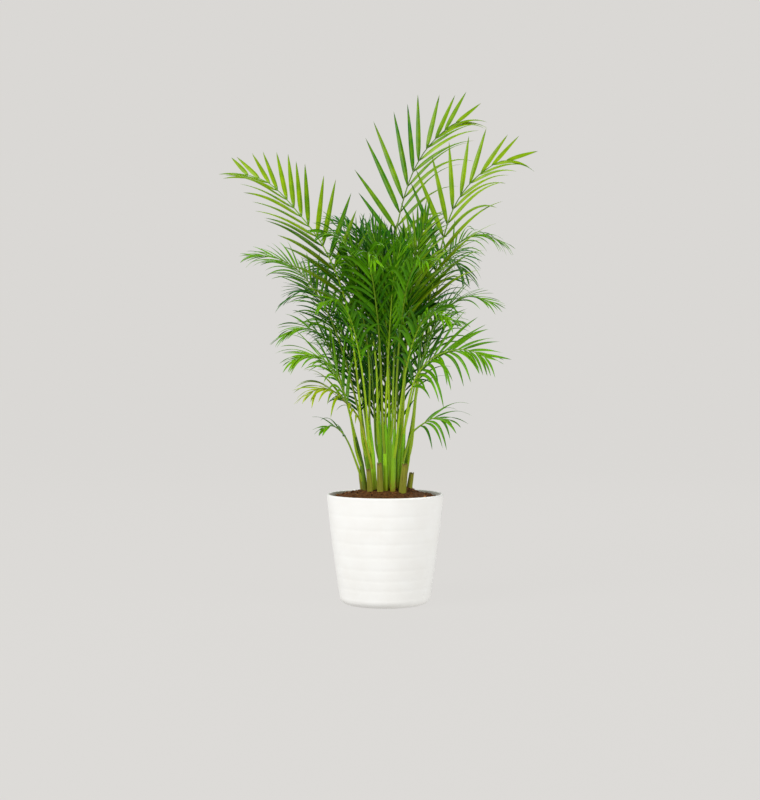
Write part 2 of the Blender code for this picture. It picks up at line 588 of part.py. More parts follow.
def leaflet_scale(share):
    """Length of a leaflet against the longest: shorter at the frond's start, shortest at its tip."""
    if share < 0.2:
        return 0.74 + 1.3 * share
    return 1.0 - LENGTH_LOSS * ((share - 0.2) / 0.8) ** 1.5


def leaflet_place(frond, midrib, share):
    """Share of the midrib's length at which the leaflets at a share of the leafy part are attached."""
    last = 1.0 - (LEAFLET_BASE + TIP_MARGIN) / midrib.lengths[-1]
    return frond.bare + (last - frond.bare) * share ** 0.95


def stalk_stops(frond, midrib):
    """Shares of the length where the stalk has a ring: at both ends of each attachment and between."""
    total = midrib.lengths[-1]
    fixed = [0.0]
    for index in range(frond.pairs):
        place = leaflet_place(frond, midrib, index / (frond.pairs - 1.0))
        fixed += [place, place + LEAFLET_BASE / total]
    fixed.append(1.0)
    stops = []
    for low, high in zip(fixed, fixed[1:]):
        count = max(1, round((high - low) * total / SPACER_STEP))
        stops += [low + (high - low) * index / count for index in range(count)]
    return stops + [1.0]


def grow_leaflet(frond, midrib, share, side, noise, shrink, tilt):
    """A leaflet that leaves the midrib at a share of the leafy part and droops under its own weight.

    shrink shortens it and tilt, in degrees, raises it, to keep it clear of its neighbours.
    """
    place = leaflet_place(frond, midrib, share)
    point, along, left, upper = midrib.place(place)
    outward = left * side
    widest = frond.spread[0] if side > 0 else frond.spread[1]
    angle = math.radians(widest * (1.0 - ANGLE_CLOSING * share) + noise[0])
    rise = math.radians(frond.rise + noise[1] + tilt)
    sideways = outward * math.cos(rise) + upper * math.sin(rise)
    heading = along * math.cos(angle) + sideways * math.sin(angle)
    length = frond.leaflet * leaflet_scale(share) * (1.0 + noise[2]) * shrink
    breadth = frond.width * (1.0 - BROAD_SHARE * (1.0 - leaflet_scale(share)))
    weight = frond.droop[0 if side > 0 else 1] * (1.0 + noise[3])
    stations = (0.30, 0.66) if length > TWO_BENDS else (0.42,)
    steps = LEAFLET_STEPS
    spots = [point + outward * midrib.radius(place)]
    for step in range(1, steps + 1):
        bend = (heading - UP * weight * LEAFLET_SAG * (step / steps) ** 1.5).normalized()
        spots.append(spots[-1] + bend * (length / steps))
    rings = []
    for station in stations:
        index = round(station * steps)
        direction = (spots[min(index + 1, steps)] - spots[index - 1]).normalized()
        rim = (along - direction * direction.dot(along)).normalized()
        ridge = rim.cross(direction) * side
        half = 0.5 * breadth * (1.0 if station < 0.5 else OUTER_BREADTH)
        rings.append([spots[index] - rim * half, spots[index] + rim * half,
                      spots[index] + ridge * LEAFLET_THICKNESS])
    return Leaflet(place, side, rings, spots[-1])


def attachment(midrib, leaflet):
    """Base triangle of a leaflet on the stalk's side: lower rear, lower front and upper front corner."""
    total = midrib.lengths[-1]
    rear = midrib.ring(leaflet.share)
    front = midrib.ring(leaflet.share + LEAFLET_BASE / total)
    low, high = (1, 2) if leaflet.side > 0 else (0, 3)
    return [rear[low], front[low], front[high]]


def tube_tree(rings):
    """Contact tree of a tube given by its rings of corners, with each side cut both ways."""
    sides = len(rings[0])
    corners = [corner for ring in rings for corner in ring]
    faces = []
    for level in range(len(rings) - 1):
        for side in range(sides):
            after = (side + 1) % sides
            faces += both_ways(level * sides + side, level * sides + after, sides)
    return BVHTree.FromPolygons(corners, faces, all_triangles=True)


def beside_cane(cane, height):
    """Centre and radius of a cane at a height."""
    centres = cane_centres(cane)
    for low, high, wide, narrow in zip(centres, centres[1:], CANE_TAPER, CANE_TAPER[1:]):
        if low.z <= height <= high.z:
            share = (height - low.z) / (high.z - low.z)
            return low.lerp(high, share), cane.radius * (wide + (narrow - wide) * share)
    return centres[-1], cane.radius * CANE_TAPER[-1]


def petiole_start(frond):
    """Where a stalk leaves its cane: the straightest on top of it, each other beside it and lower down."""
    cane = next(cane for cane in CANES if cane.name == frond.cane)
    knee, top = cane_centres(cane)[-2:]
    mates = [other for other in FRONDS if other.cane == frond.cane]
    mates.sort(key=lambda mate: (top - knee).angle(Vector(mate.route[0]) - top))
    rank = mates.index(frond)
    aim = Vector(frond.route[0])
    if rank == 0:
        tilt = (top - knee).angle(aim - top)
        return top + (top - knee).normalized() * (FORK_GAP + STALK_CORNER * math.sin(tilt))
    centre, radius = beside_cane(cane, cane.top[2] - FORK_STEP * rank)
    outward = Vector((aim.x - centre.x, aim.y - centre.y, 0.0)).normalized()
    return centre + outward * (radius + STALK_CORNER + FORK_GAP)


def shade_of(frond):
    """The frond's plain green."""
    return make_material(frond.name + "_leaf", GREENS[frond.green], 0.42)


def grow_fronds(blocked):
    """Places every leaflet so that it touches nothing placed before it, then builds the fronds.

    blocked holds the contact trees of the canes and stubs.
    """
    chance = random.Random(11)
    midribs = {}
    trees = list(blocked)
    stalks = {}
    for frond in FRONDS:
        midrib = Midrib(frond, petiole_start(frond))
        midribs[frond.name] = midrib
        stalks[frond.name] = tube_tree([midrib.ring(stop) for stop in stalk_stops(frond, midrib)])
    for frond in FRONDS:
        midrib = midribs[frond.name]
        others = trees + [tree for name, tree in stalks.items() if name != frond.name]
        leaflets = []
        own = []
        for index in range(frond.pairs):
            for side in (1, -1):
                share = index / (frond.pairs - 1.0)
                noise = (chance.gauss(0.0, 2.5), chance.gauss(0.0, 5.0), chance.gauss(0.0, 0.05),
                         chance.gauss(0.0, 0.18))
                stalk = stalks[frond.name]
                leaflet, tree = fit_leaflet(frond, midrib, share, side, noise, stalk, others + own)
                if leaflet:
                    leaflets.append(leaflet)
                    own.append(tree)
        trees += own
        build_frond(frond, midrib, leaflets)


def fit_leaflet(frond, midrib, share, side, noise, stalk, obstacles):
    """The first of a few variants of a leaflet that touches no obstacle, with its contact tree."""
    for shrink in (1.0, 0.85, 0.68, 0.5, 0.34):
        for tilt in (0.0, 9.0, -9.0, 20.0, -20.0, 34.0):
            leaflet = grow_leaflet(frond, midrib, share, side, noise, shrink, tilt)
            base = attachment(midrib, leaflet)
            tree = BVHTree.FromPolygons(*leaflet.shell(base))
            ahead = [low.lerp(high, 0.3) for low, high in zip(base, leaflet.rings[0])]
            clear_of_stalk = not BVHTree.FromPolygons(*leaflet.shell(ahead)).overlap(stalk)
            if clear_of_stalk and not any(tree.overlap(other) for other in obstacles):
                return leaflet, tree
    return None, None


def extrude_to(bm, face, corners, goals):
    """Extrudes a face, moves its corners to the goals and gives the new face and its corners."""
    places = [corner.co.copy() for corner in corners]
    new_face = bmesh.ops.extrude_discrete_faces(bm, faces=[face])["faces"][0]
    moved = []
    for place, goal in zip(places, goals):
        corner = min(new_face.verts, key=lambda vert: (vert.co - place).length_squared)
        moved.append((corner, goal))
    for corner, goal in moved:
        corner.co = goal
    return new_face, [corner for corner, _ in moved]


def build_frond(frond, midrib, leaflets):
    """One frond as one closed body: the stalk is extruded ring by ring, the leaflets out of its sides."""
    stops = stalk_stops(frond, midrib)
    spans = {(round(leaflet.share, 6), leaflet.side): leaflet for leaflet in leaflets}

    bm = bmesh.new()
    corners = [bm.verts.new(corner) for corner in midrib.ring(0.0)]
    bm.faces.new(corners[::-1])
    rings = [corners]
    for stop in stops[1:]:
        goals = midrib.ring(stop)
        rings.append([bm.verts.new(goal) for goal in goals])
    bm.faces.new(rings[-1])
    for index, (low, high) in enumerate(zip(rings, rings[1:])):
        bm.faces.new((low[0], low[1], high[1], high[0]))
        bm.faces.new((low[2], low[3], high[3], high[2]))
        for side, under, above in ((1, 1, 2), (-1, 0, 3)):
            leaflet = spans.get((round(stops[index], 6), side))
            if leaflet is None:
                bm.faces.new((low[under], high[under], high[above], low[above]))
                continue
            bm.faces.new((low[under], high[above], low[above]))
            patch = [low[under], high[under], high[above]]
            face = bm.faces.new(patch)
            for ring in leaflet.rings:
                face, patch = extrude_to(bm, face, patch, ring)
            bmesh.ops.pointmerge(bm, verts=extrude_to(bm, face, patch, [leaflet.tip] * 3)[1],
                                 merge_co=leaflet.tip)
    return finish_object(frond.name, bm, shade_of(frond))


def main():
    """Builds the pot, the soil with its pockets, the canes, the stubs and the fronds."""
    clear_scene()
    build_pot()
    pockets = []
    blocked = []
    for cane in CANES:
        build_cane(cane)
        pockets.append(build_pocket("pocket_" + cane.name, cane.foot, cane.radius))
    for stub in STUBS:
        build_stub(stub)
        pockets.append(build_pocket("pocket_" + stub.name, stub.foot, stub.radius))
    for thing in list(bpy.context.scene.objects):
        if thing.name.startswith(("cane", "stub", "pot")):
            corners = [corner.co for corner in thing.data.vertices]
            faces = [tuple(face.vertices) for face in thing.data.polygons]
            blocked.append(BVHTree.FromPolygons(corners, faces))
    build_soil(pockets)
    grow_fronds(blocked)


main()
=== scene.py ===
"""Looks of the potted areca palm: glazed cover pot, coir soil, sheathed canes, old leaf bases and fronds.

Each class builds one kind of piece at its real size, in metres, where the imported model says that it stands.
"""

import logging
import math
import random
from dataclasses import dataclass, field
from enum import Enum
from functools import partial
from typing import Callable

import bmesh
import bpy
import numpy as np
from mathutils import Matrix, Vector, noise
from mathutils.bvhtree import BVHTree


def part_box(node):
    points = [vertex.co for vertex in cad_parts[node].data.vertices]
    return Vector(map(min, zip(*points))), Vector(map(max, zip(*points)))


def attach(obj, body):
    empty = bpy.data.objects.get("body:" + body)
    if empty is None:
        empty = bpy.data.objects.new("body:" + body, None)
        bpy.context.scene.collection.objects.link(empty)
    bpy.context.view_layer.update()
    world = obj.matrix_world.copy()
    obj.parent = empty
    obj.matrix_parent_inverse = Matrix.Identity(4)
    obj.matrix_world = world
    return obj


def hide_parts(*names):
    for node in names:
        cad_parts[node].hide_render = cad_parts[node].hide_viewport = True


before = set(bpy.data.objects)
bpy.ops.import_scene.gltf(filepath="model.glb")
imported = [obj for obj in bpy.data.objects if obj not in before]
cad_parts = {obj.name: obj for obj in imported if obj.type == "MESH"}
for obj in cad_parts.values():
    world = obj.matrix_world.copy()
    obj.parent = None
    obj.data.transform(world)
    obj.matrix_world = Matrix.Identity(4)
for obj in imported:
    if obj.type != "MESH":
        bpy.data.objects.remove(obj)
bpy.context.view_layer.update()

log = logging.getLogger("areca")

BODY = "root"
UP = np.array((0.0, 0.0, 1.0))
TINT = "tint"
UV = "UVMap"

# Shader settings that repeat: output numbers, and what a colour mix and a multiplying mix are set to
OBJECT_PLACE = 3
MIXED = 2
COLOURS = {"data_type": "RGBA"}
SHADING = {"data_type": "RGBA", "blend_type": "MULTIPLY", 0: 1.0}
PLANT_IOR = 1.45

# The pot's and the soil's sizes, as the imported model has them
RIM_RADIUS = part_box("pot")[1].x
RIM_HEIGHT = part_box("pot")[1].z
LIP = 0.007
WALL = 0.0065
SOIL_EDGE_DROP = 0.012
SOIL_MOUND = 0.026
LUMP_PLACE = (0.052, -0.004)
LUMP_HEIGHT = 0.007
LUMP_SPREAD = 0.0224
RIPPLE_HEIGHT = 0.0013
POCKET_DEPTH = 0.030

# How a stalk leaves its cane
PETIOLE_RADIUS = 0.0027
RACHIS_TIP_RADIUS = 0.0008
STALK_CORNER = PETIOLE_RADIUS * math.sqrt(2.0)
FORK_STEP = 0.036
FORK_GAP = 0.0009
BLADE_LEAN = 0.35
STALK_LEAN = 0.90
CANE_TAPER = (1.05, 1.18, 1.06, 0.98, 0.86, 0.66)
CANE_LEAN_LATE = 0.12

# How leaflets shorten along a frond, close towards its tip, sag, and darken towards the clump's middle as
# painted shade
LENGTH_LOSS = 0.62
ANGLE_CLOSING = 0.62
LEAFLET_SAG = 1.9
SUNLIT_REACH = 0.24
ROUTE_STEP = 0.004


class Green(Enum):
    """The leaves' greens, by the record's slot names. The deep one is painted shade: a much darker green for
    the fronds deep in and at the back of the clump.
    """

    BRIGHT = "leaf_bright"
    MID = "leaf_mid"
    # painted shade: the darker green of fronds deep in and at the back of the clump
    DEEP = "leaf_deep"
    PALE = "leaf_pale"
    YELLOW = "leaf_yellow"


@dataclass(frozen=True)
class CanePlan:
    """A sheathed stem: its foot on the soil, the top where its stalks part, and its radius."""

    name: str
    foot: tuple
    top: tuple
    radius: float


@dataclass(frozen=True)
class StubPlan:
    """The cut base of an old leaf: its foot on the soil, its leaning top, its height and its radius."""

    name: str
    foot: tuple
    lean: tuple
    height: float
    radius: float


@dataclass(frozen=True)
class FrondPlan:
    """One leaf: its cane, the way its upper side faces, its leaflets, and its midrib's route in millimetres.

    Bare is the leafless share of the midrib. The leaflets' length and width are those of the longest.
    Spread, in degrees, and droop are for the left and the right side. Rise is in degrees off the leaf.
    """

    name: str
    cane: str
    green: Green
    face: tuple
    bare: float
    pairs: int
    leaflet: float
    width: float
    spread: tuple
    rise: float
    droop: tuple
    route: tuple

    def points(self) -> np.ndarray:
        """Gives the midrib's route in metres, one row for each point."""
        return np.array(self.route) / 1000.0


CANES = tuple(CanePlan(*row) for row in (
    ("cane_a", (-0.046, -0.012), (-0.068, -0.018, 0.3865), 0.0050),
    ("cane_b", (-0.034, 0.006), (-0.052, 0.010, 0.4065), 0.0050),
    ("cane_c", (-0.026, 0.030), (-0.040, 0.052, 0.3865), 0.0052),
    ("cane_d", (-0.024, -0.024), (-0.036, -0.036, 0.4165), 0.0054),
    ("cane_e", (-0.010, 0.004), (-0.014, 0.004, 0.4365), 0.0050),
    ("cane_f", (0.002, -0.032), (0.000, -0.044, 0.4165), 0.0056),
    ("cane_g", (0.012, -0.008), (0.010, -0.006, 0.4465), 0.0052),
    ("cane_h", (0.036, -0.024), (0.044, -0.036, 0.3965), 0.0052),
    ("cane_i", (0.044, 0.014), (0.060, 0.018, 0.3965), 0.0052),
    ("cane_j", (-0.002, 0.036), (-0.006, 0.058, 0.4065), 0.0052),
    ("cane_k", (0.024, 0.030), (0.034, 0.052, 0.4165), 0.0050),
    ("cane_l", (0.018, -0.040), (0.022, -0.054, 0.4065), 0.0054),
    ("cane_m", (0.030, 0.002), (0.038, 0.002, 0.4265), 0.0050),
    ("cane_n", (0.008, 0.019), (0.010, 0.026, 0.4365), 0.0048),
))

STUBS = tuple(StubPlan(*row) for row in (
    ("stub_a", (-0.011, -0.045), (-0.002, -0.004), 0.066, 0.0066),
    ("stub_b", (0.040, -0.045), (0.006, -0.003), 0.066, 0.0080),
    ("stub_c", (-0.034, -0.040), (-0.004, -0.005), 0.052, 0.0062),
    ("stub_d", (0.057, -0.006), (0.005, -0.001), 0.036, 0.0062),
    ("stub_e", (-0.051, 0.017), (-0.006, 0.003), 0.046, 0.0066),
))

FRONDS = tuple(FrondPlan(*row[:11], row[11:]) for row in (
    ("frond_crown", "cane_n", Green.BRIGHT, (-0.14, -0.96, 0.22), 0.54, 11, 0.205, 0.0152, (43, 36), 10,
     (0.04, 0.44), (12, 26, 546.5), (14, 36, 686.5), (18, 44, 792.5), (30, 50, 886.5), (58, 60, 988.5),
     (96, 62, 1060.5), (148, 66, 1113.5), (176, 70, 1129.5)),
    ("frond_right_high", "cane_i", Green.BRIGHT, (-0.08, -0.95, 0.28), 0.46, 12, 0.19, 0.0148, (46, 38), 10,
     (0.04, 0.42), (78, 4, 546.5), (93, -10, 657.5), (120, -20, 784.5), (152, -30, 901.5), (197, -40, 971.5),
     (254, -48, 1014.5), (284, -50, 1020.5)),
    ("frond_left_high", "cane_b", Green.BRIGHT, (0.15, -0.8, 0.55), 0.44, 15, 0.185, 0.016, (46, 58), 10,
     (0.22, 0.03), (-66, -10, 541.5), (-92, -20, 703.5), (-138, -28, 818.5), (-196, -30, 898.5),
     (-262, -20, 968.5), (-322, -8, 994.5)),
    ("frond_left_mid", "cane_b", Green.MID, (-0.1, -0.45, 0.9), 0.44, 24, 0.125, 0.0078, (46, 50), 8,
     (0.45, 0.25), (-80, 26, 518.5), (-112, 44, 622.5), (-146, 56, 698.5), (-200, 64, 772.5),
     (-260, 70, 808.5), (-312, 75, 812.5)),
    ("frond_left_low_a", "cane_a", Green.MID, (0, -0.4, 0.9), 0.42, 19, 0.105, 0.0076, (44, 44), 10,
     (0.5, 0.4), (-90, -16, 472.5), (-114, -24, 553.5), (-134, -32, 604.5), (-162, -44, 632.5),
     (-200, -58, 636.5), (-232, -68, 618.5)),
    ("frond_left_low_b", "cane_a", Green.PALE, (-0.1, -0.65, 0.75), 0.36, 17, 0.13, 0.0092, (42, 42), 10,
     (0.55, 0.4), (-80, -36, 436.5), (-94, -54, 488.5), (-114, -72, 534.5), (-138, -92, 564.5),
     (-170, -112, 576.5), (-204, -132, 564.5)),
    ("frond_left_low_c", "cane_d", Green.YELLOW, (-0.1, -0.5, 0.85), 0.34, 12, 0.115, 0.009, (42, 42), 12,
     (0.7, 0.55), (-58, -50, 426.5), (-84, -78, 462.5), (-114, -106, 492.5), (-145, -134, 500.5),
     (-174, -162, 486.5)),
    ("frond_left_small", "cane_a", Green.MID, (0, -0.5, 0.85), 0.50, 5, 0.07, 0.011, (46, 46), 12,
     (0.5, 0.5), (-83, -26, 370.5), (-101, -40, 400.5), (-122, -58, 414.5), (-144, -76, 406.5)),
    ("frond_right_mid", "cane_i", Green.MID, (0, -0.4, 0.9), 0.42, 21, 0.115, 0.0076, (42, 44), 8,
     (0.25, 0.6), (72, -20, 495.5), (93, -40, 587.5), (114, -52, 644.5), (142, -64, 684.5),
     (190, -82, 708.5), (240, -100, 694.5)),
    ("frond_right_low", "cane_h", Green.MID, (-0.1, -0.75, 0.6), 0.34, 17, 0.138, 0.0094, (46, 54), 12,
     (0.2, 1), (52, -58, 456.5), (66, -86, 516.5), (92, -108, 556.5), (130, -130, 580.5), (180, -154, 586.5),
     (224, -174, 568.5)),
    ("frond_right_small", "cane_h", Green.MID, (0, -0.6, 0.8), 0.46, 7, 0.105, 0.008, (30, 40), 6,
     (0.55, 1.25), (62, -46, 396.5), (86, -60, 418.5), (112, -72, 432.5), (144, -84, 428.5)),
    ("frond_right_fine", "cane_i", Green.MID, (0, -0.3, 0.95), 0.46, 26, 0.12, 0.0058, (48, 50), 6,
     (0.55, 0.85), (74, 28, 486.5), (94, 42, 598.5), (123, 60, 731.5), (148, 76, 798.5), (181, 90, 848.5),
     (228, 108, 866.5), (284, 128, 850.5)),
    ("frond_centre_front", "cane_f", Green.MID, (-0.15, -0.5, 0.85), 0.46, 20, 0.14, 0.0088, (40, 44), 12,
     (0.6, 0.6), (-8, -56, 506.5), (-14, -78, 626.5), (-26, -110, 731.5), (-38, -150, 786.5),
     (-36, -196, 798.5), (-22, -240, 776.5)),
    ("frond_centre_right", "cane_m", Green.BRIGHT, (0.25, -0.9, 0.35), 0.38, 19, 0.16, 0.0105, (38, 40), 10,
     (0.15, 0.4), (46, -18, 526.5), (52, -34, 636.5), (60, -48, 731.5), (72, -62, 816.5), (94, -76, 878.5)),
    ("frond_centre_left", "cane_e", Green.MID, (0, -0.65, 0.75), 0.42, 22, 0.15, 0.0086, (38, 38), 12,
     (0.5, 0.35), (-20, -8, 546.5), (-36, -26, 666.5), (-60, -52, 766.5), (-94, -84, 831.5),
     (-136, -118, 848.5)),
    ("frond_centre_tall", "cane_e", Green.DEEP, (0.1, -0.95, 0.2), 0.38, 22, 0.14, 0.0088, (36, 36), 10,
     (0.3, 0.3), (-14, 20, 586.5), (-20, 30, 696.5), (-32, 40, 796.5), (-52, 52, 864.5)),
    ("frond_front", "cane_l", Green.MID, (0.05, -0.55, 0.85), 0.44, 21, 0.145, 0.0086, (38, 38), 12,
     (0.5, 0.55), (26, -68, 506.5), (34, -92, 626.5), (48, -128, 726.5), (68, -174, 778.5),
     (88, -222, 778.5)),
    ("frond_front_low", "cane_l", Green.MID, (0.1, -0.45, 0.9), 0.44, 18, 0.125, 0.0084, (40, 40), 12,
     (0.5, 0.6), (36, -74, 466.5), (52, -106, 566.5), (76, -150, 638.5), (106, -200, 666.5),
     (138, -246, 650.5)),
    ("frond_back_left", "cane_c", Green.DEEP, (-0.1, 0.2, 0.95), 0.44, 20, 0.15, 0.0095, (46, 46), 16,
     (0.45, 0.45), (-52, 72, 486.5), (-72, 116, 654.5), (-104, 178, 772.5), (-146, 246, 798.5),
     (-180, 298, 766.5)),
    ("frond_back", "cane_j", Green.DEEP, (0, 0.2, 0.95), 0.44, 20, 0.155, 0.0095, (46, 46), 16, (0.42, 0.42),
     (-10, 88, 526.5), (-12, 134, 706.5), (-4, 198, 822.5), (12, 264, 852.5), (28, 322, 822.5)),
    ("frond_back_right", "cane_k", Green.DEEP, (0.1, 0.2, 0.95), 0.44, 20, 0.15, 0.0095, (46, 46), 16,
     (0.45, 0.45), (50, 78, 526.5), (76, 118, 686.5), (114, 174, 798.5), (166, 236, 818.5),
     (208, 282, 782.5)),
    ("frond_back_tall", "cane_j", Green.DEEP, (0.2, -0.75, 0.55), 0.44, 20, 0.145, 0.0092, (42, 42), 12,
     (0.4, 0.3), (-20, 74, 566.5), (-32, 92, 706.5), (-48, 114, 812.5), (-76, 144, 878.5),
     (-114, 178, 906.5)),
    ("frond_centre_back", "cane_n", Green.DEEP, (0.2, -0.9, 0.3), 0.40, 21, 0.145, 0.009, (40, 40), 12,
     (0.32, 0.32), (26, 40, 546.5), (32, 62, 676.5), (26, 86, 790.5), (6, 106, 864.5)),
    ("frond_left_back", "cane_c", Green.DEEP, (-0.1, -0.3, 0.95), 0.42, 19, 0.13, 0.0085, (44, 44), 12,
     (0.5, 0.45), (-66, 62, 506.5), (-96, 80, 612.5), (-136, 104, 696.5), (-188, 134, 734.5),
     (-236, 160, 714.5)),
    ("frond_centre_low", "cane_d", Green.MID, (-0.1, -0.45, 0.9), 0.44, 18, 0.125, 0.0084, (40, 40), 12,
     (0.55, 0.5), (-46, -56, 486.5), (-60, -84, 586.5), (-80, -120, 662.5), (-108, -162, 696.5),
     (-140, -202, 686.5)),
    ("frond_back_low_left", "cane_c", Green.MID, (-0.15, 0.1, 0.95), 0.40, 17, 0.13, 0.009, (46, 46), 14,
     (0.5, 0.5), (-52, 90, 456.5), (-86, 134, 576.5), (-128, 178, 654.5), (-172, 220, 660.5)),
    ("frond_back_low_right", "cane_k", Green.MID, (0.15, 0.1, 0.95), 0.40, 17, 0.13, 0.009, (46, 46), 14,
     (0.5, 0.5), (60, 82, 456.5), (92, 128, 576.5), (132, 172, 658.5), (178, 214, 664.5)),
    ("frond_inner_left", "cane_b", Green.DEEP, (-0.05, -0.6, 0.8), 0.34, 16, 0.115, 0.0084, (44, 44), 12,
     (0.55, 0.4), (-62, 34, 482.5), (-78, 52, 552.5), (-104, 64, 598.5), (-138, 72, 618.5)),
    ("frond_inner_back", "cane_j", Green.DEEP, (0.05, -0.7, 0.7), 0.32, 17, 0.12, 0.0084, (44, 44), 12,
     (0.5, 0.4), (-32, 62, 502.5), (-52, 70, 592.5), (-84, 74, 654.5), (-122, 72, 682.5)),
    ("frond_inner_right", "cane_k", Green.DEEP, (0, -0.7, 0.7), 0.32, 17, 0.12, 0.0084, (44, 44), 12,
     (0.4, 0.5), (46, 50, 506.5), (60, 46, 596.5), (78, 40, 666.5), (108, 30, 702.5)),
    ("frond_upright_a", "cane_g", Green.MID, (0.05, -0.92, 0.3), 0.38, 22, 0.145, 0.008, (33, 33), 8,
     (0.24, 0.24), (6, -18, 566.5), (0, -32, 686.5), (-10, -46, 782.5), (-28, -62, 852.5)),
    ("frond_upright_b", "cane_f", Green.MID, (0.05, -0.9, 0.35), 0.38, 21, 0.14, 0.008, (33, 33), 8,
     (0.28, 0.28), (6, -58, 546.5), (12, -70, 656.5), (20, -84, 752.5), (36, -102, 824.5)),
    ("frond_upright_c", "cane_m", Green.MID, (-0.05, -0.92, 0.3), 0.38, 22, 0.145, 0.008, (33, 33), 8,
     (0.24, 0.28), (46, 10, 566.5), (58, 12, 686.5), (76, 10, 786.5), (104, 4, 860.5)),
    ("frond_upright_d", "cane_d", Green.MID, (0.05, -0.9, 0.35), 0.38, 21, 0.14, 0.008, (33, 33), 8,
     (0.28, 0.24), (-36, -40, 546.5), (-48, -50, 650.5), (-66, -60, 738.5), (-96, -70, 802.5)),
    ("frond_upright_e", "cane_g", Green.DEEP, (0, -0.92, 0.3), 0.36, 21, 0.14, 0.008, (33, 33), 8,
     (0.26, 0.26), (20, -16, 546.5), (26, -26, 656.5), (34, -34, 756.5), (46, -40, 832.5)),
    ("frond_spear_a", "cane_e", Green.DEEP, (0.05, -0.95, 0.15), 0.26, 12, 0.095, 0.008, (26, 26), 6,
     (0.2, 0.2), (-27, 6, 486.5), (-31, 9, 546.5), (-37, 12, 604.5)),
    ("frond_spear_b", "cane_n", Green.DEEP, (0, -0.95, 0.15), 0.26, 12, 0.095, 0.008, (26, 26), 6,
     (0.2, 0.2), (1, 34, 486.5), (-1, 38, 546.5), (-4, 42, 606.5)),
    ("frond_spear_c", "cane_m", Green.DEEP, (0.05, -0.95, 0.15), 0.26, 12, 0.095, 0.008, (26, 26), 6,
     (0.2, 0.2), (30, 10, 486.5), (27, 14, 546.5), (25, 18, 602.5)),
))


# ---------------------------------------------------------------- small helpers


def linear(code: str) -> tuple[float, float, float, float]:
    """Turns an sRGB hex colour into the linear colour that a shader takes.

    Args:
        code: The colour as six hex digits.

    Returns:
        Linear red, green and blue, and an alpha of one.
    """
    channels = [int(code[at : at + 2], 16) / 255.0 for at in (0, 2, 4)]
    red, green, blue = [c / 12.92 if c <= 0.04045 else ((c + 0.055) / 1.055) ** 2.4 for c in channels]
    return red, green, blue, 1.0


def add_node(tree: bpy.types.NodeTree, kind: str, values: dict, output: int = 0) -> bpy.types.NodeSocket:
    """Adds one shader node with its settings and its links.

    Args:
        tree: The material's node tree.
        kind: The node's type, without its ShaderNode prefix.
        values: Settings by property name, and inputs by name or number. A socket as a value is linked.
        output: The number of the output that is wanted.

    Returns:
        The wanted output socket.
    """
    node = tree.nodes.new("ShaderNode" + kind)
    for key, value in values.items():
        if isinstance(key, str) and hasattr(node, key):
            setattr(node, key, value)
        elif isinstance(value, bpy.types.NodeSocket):
            tree.links.new(value, node.inputs[key])
        else:
            node.inputs[key].default_value = value
    return node.outputs[output] if len(node.outputs) else None


def unit(vectors: np.ndarray) -> np.ndarray:
    """Scales a vector, or each row of an array, to length one."""
    return vectors / np.maximum(np.linalg.norm(vectors, axis=-1, keepdims=True), 1e-12)


def clear_selection() -> None:
    """Leaves object mode with nothing selected."""
    if bpy.context.object and bpy.context.object.mode != "OBJECT":
        bpy.ops.object.mode_set(mode="OBJECT")
    bpy.ops.object.select_all(action="DESELECT")


def select_corners(piece: bpy.types.Object, wanted: object) -> None:
    """Selects, in edit mode, the corners that a test picks by their place.

    Args:
        piece: The object in edit mode.
        wanted: A function that takes a corner's place and says whether it is selected.
    """
    bpy.ops.mesh.select_mode(type="VERT")
    bpy.ops.mesh.select_all(action="DESELECT")
    shape = bmesh.from_edit_mesh(piece.data)
    for corner in shape.verts:
        corner.select = wanted(corner.co)
    shape.select_flush(True)
    bmesh.update_edit_mesh(piece.data)


def corner_places(piece: bpy.types.Object) -> np.ndarray:
    """Gives the places of a piece's corners, one row each."""
    places = np.empty(len(piece.data.vertices) * 3, dtype=np.float32)
    piece.data.vertices.foreach_get("co", places)
    return places.reshape(-1, 3).astype(float)


def move_corners(piece: bpy.types.Object, places: np.ndarray) -> None:
    """Moves a piece's corners to the given places, one row each."""
    piece.data.vertices.foreach_set("co", np.ascontiguousarray(places, dtype=np.float32).ravel())
    piece.data.update()


def tint_piece(piece: bpy.types.Object, colours: np.ndarray) -> None:
    """Writes a piece's tint attribute.

    Args:
        piece: The piece.
        colours: Red, green, blue and alpha, for the whole piece or one row for each face corner.
    """
    loops = len(piece.data.loops)
    layer = piece.data.color_attributes.get(TINT)
    if layer is None:
        layer = piece.data.color_attributes.new(TINT, "FLOAT_COLOR", "CORNER")
    layer.data.foreach_set("color", np.broadcast_to(colours, (loops, 4)).astype(np.float32).ravel())


def copy_mould(mould: bpy.types.Object, name: str, places: np.ndarray) -> bpy.types.Object:
    """Copies a mould with its own mesh and puts the copy's corners in place.

    Args:
        mould: The shape that is modelled once.
        name: The copy's name.
        places: The places of the copy's corners.

    Returns:
        The copy.
    """
    piece = bpy.data.objects.new(name, mould.data.copy())
    bpy.context.scene.collection.objects.link(piece)
    move_corners(piece, places)
    return piece


def start_disc(name: str, sides: int, radius: float, height: float) -> bpy.types.Object:
    """Adds a level disc and opens it in edit mode with its face selected.

    Args:
        name: The new piece's name.
        sides: How many sides it has.
        radius: Its radius.
        height: Its height above the floor.

    Returns:
        The new piece.
    """
    clear_selection()
    bpy.ops.mesh.primitive_circle_add(vertices=sides, radius=radius, fill_type="NGON",
                                      location=(0.0, 0.0, height))
    piece = bpy.context.object
    piece.name = name
    bpy.ops.object.transform_apply(location=True)
    bpy.ops.object.mode_set(mode="EDIT")
    bpy.ops.mesh.select_mode(type="FACE")
    bpy.ops.mesh.select_all(action="SELECT")
    return piece


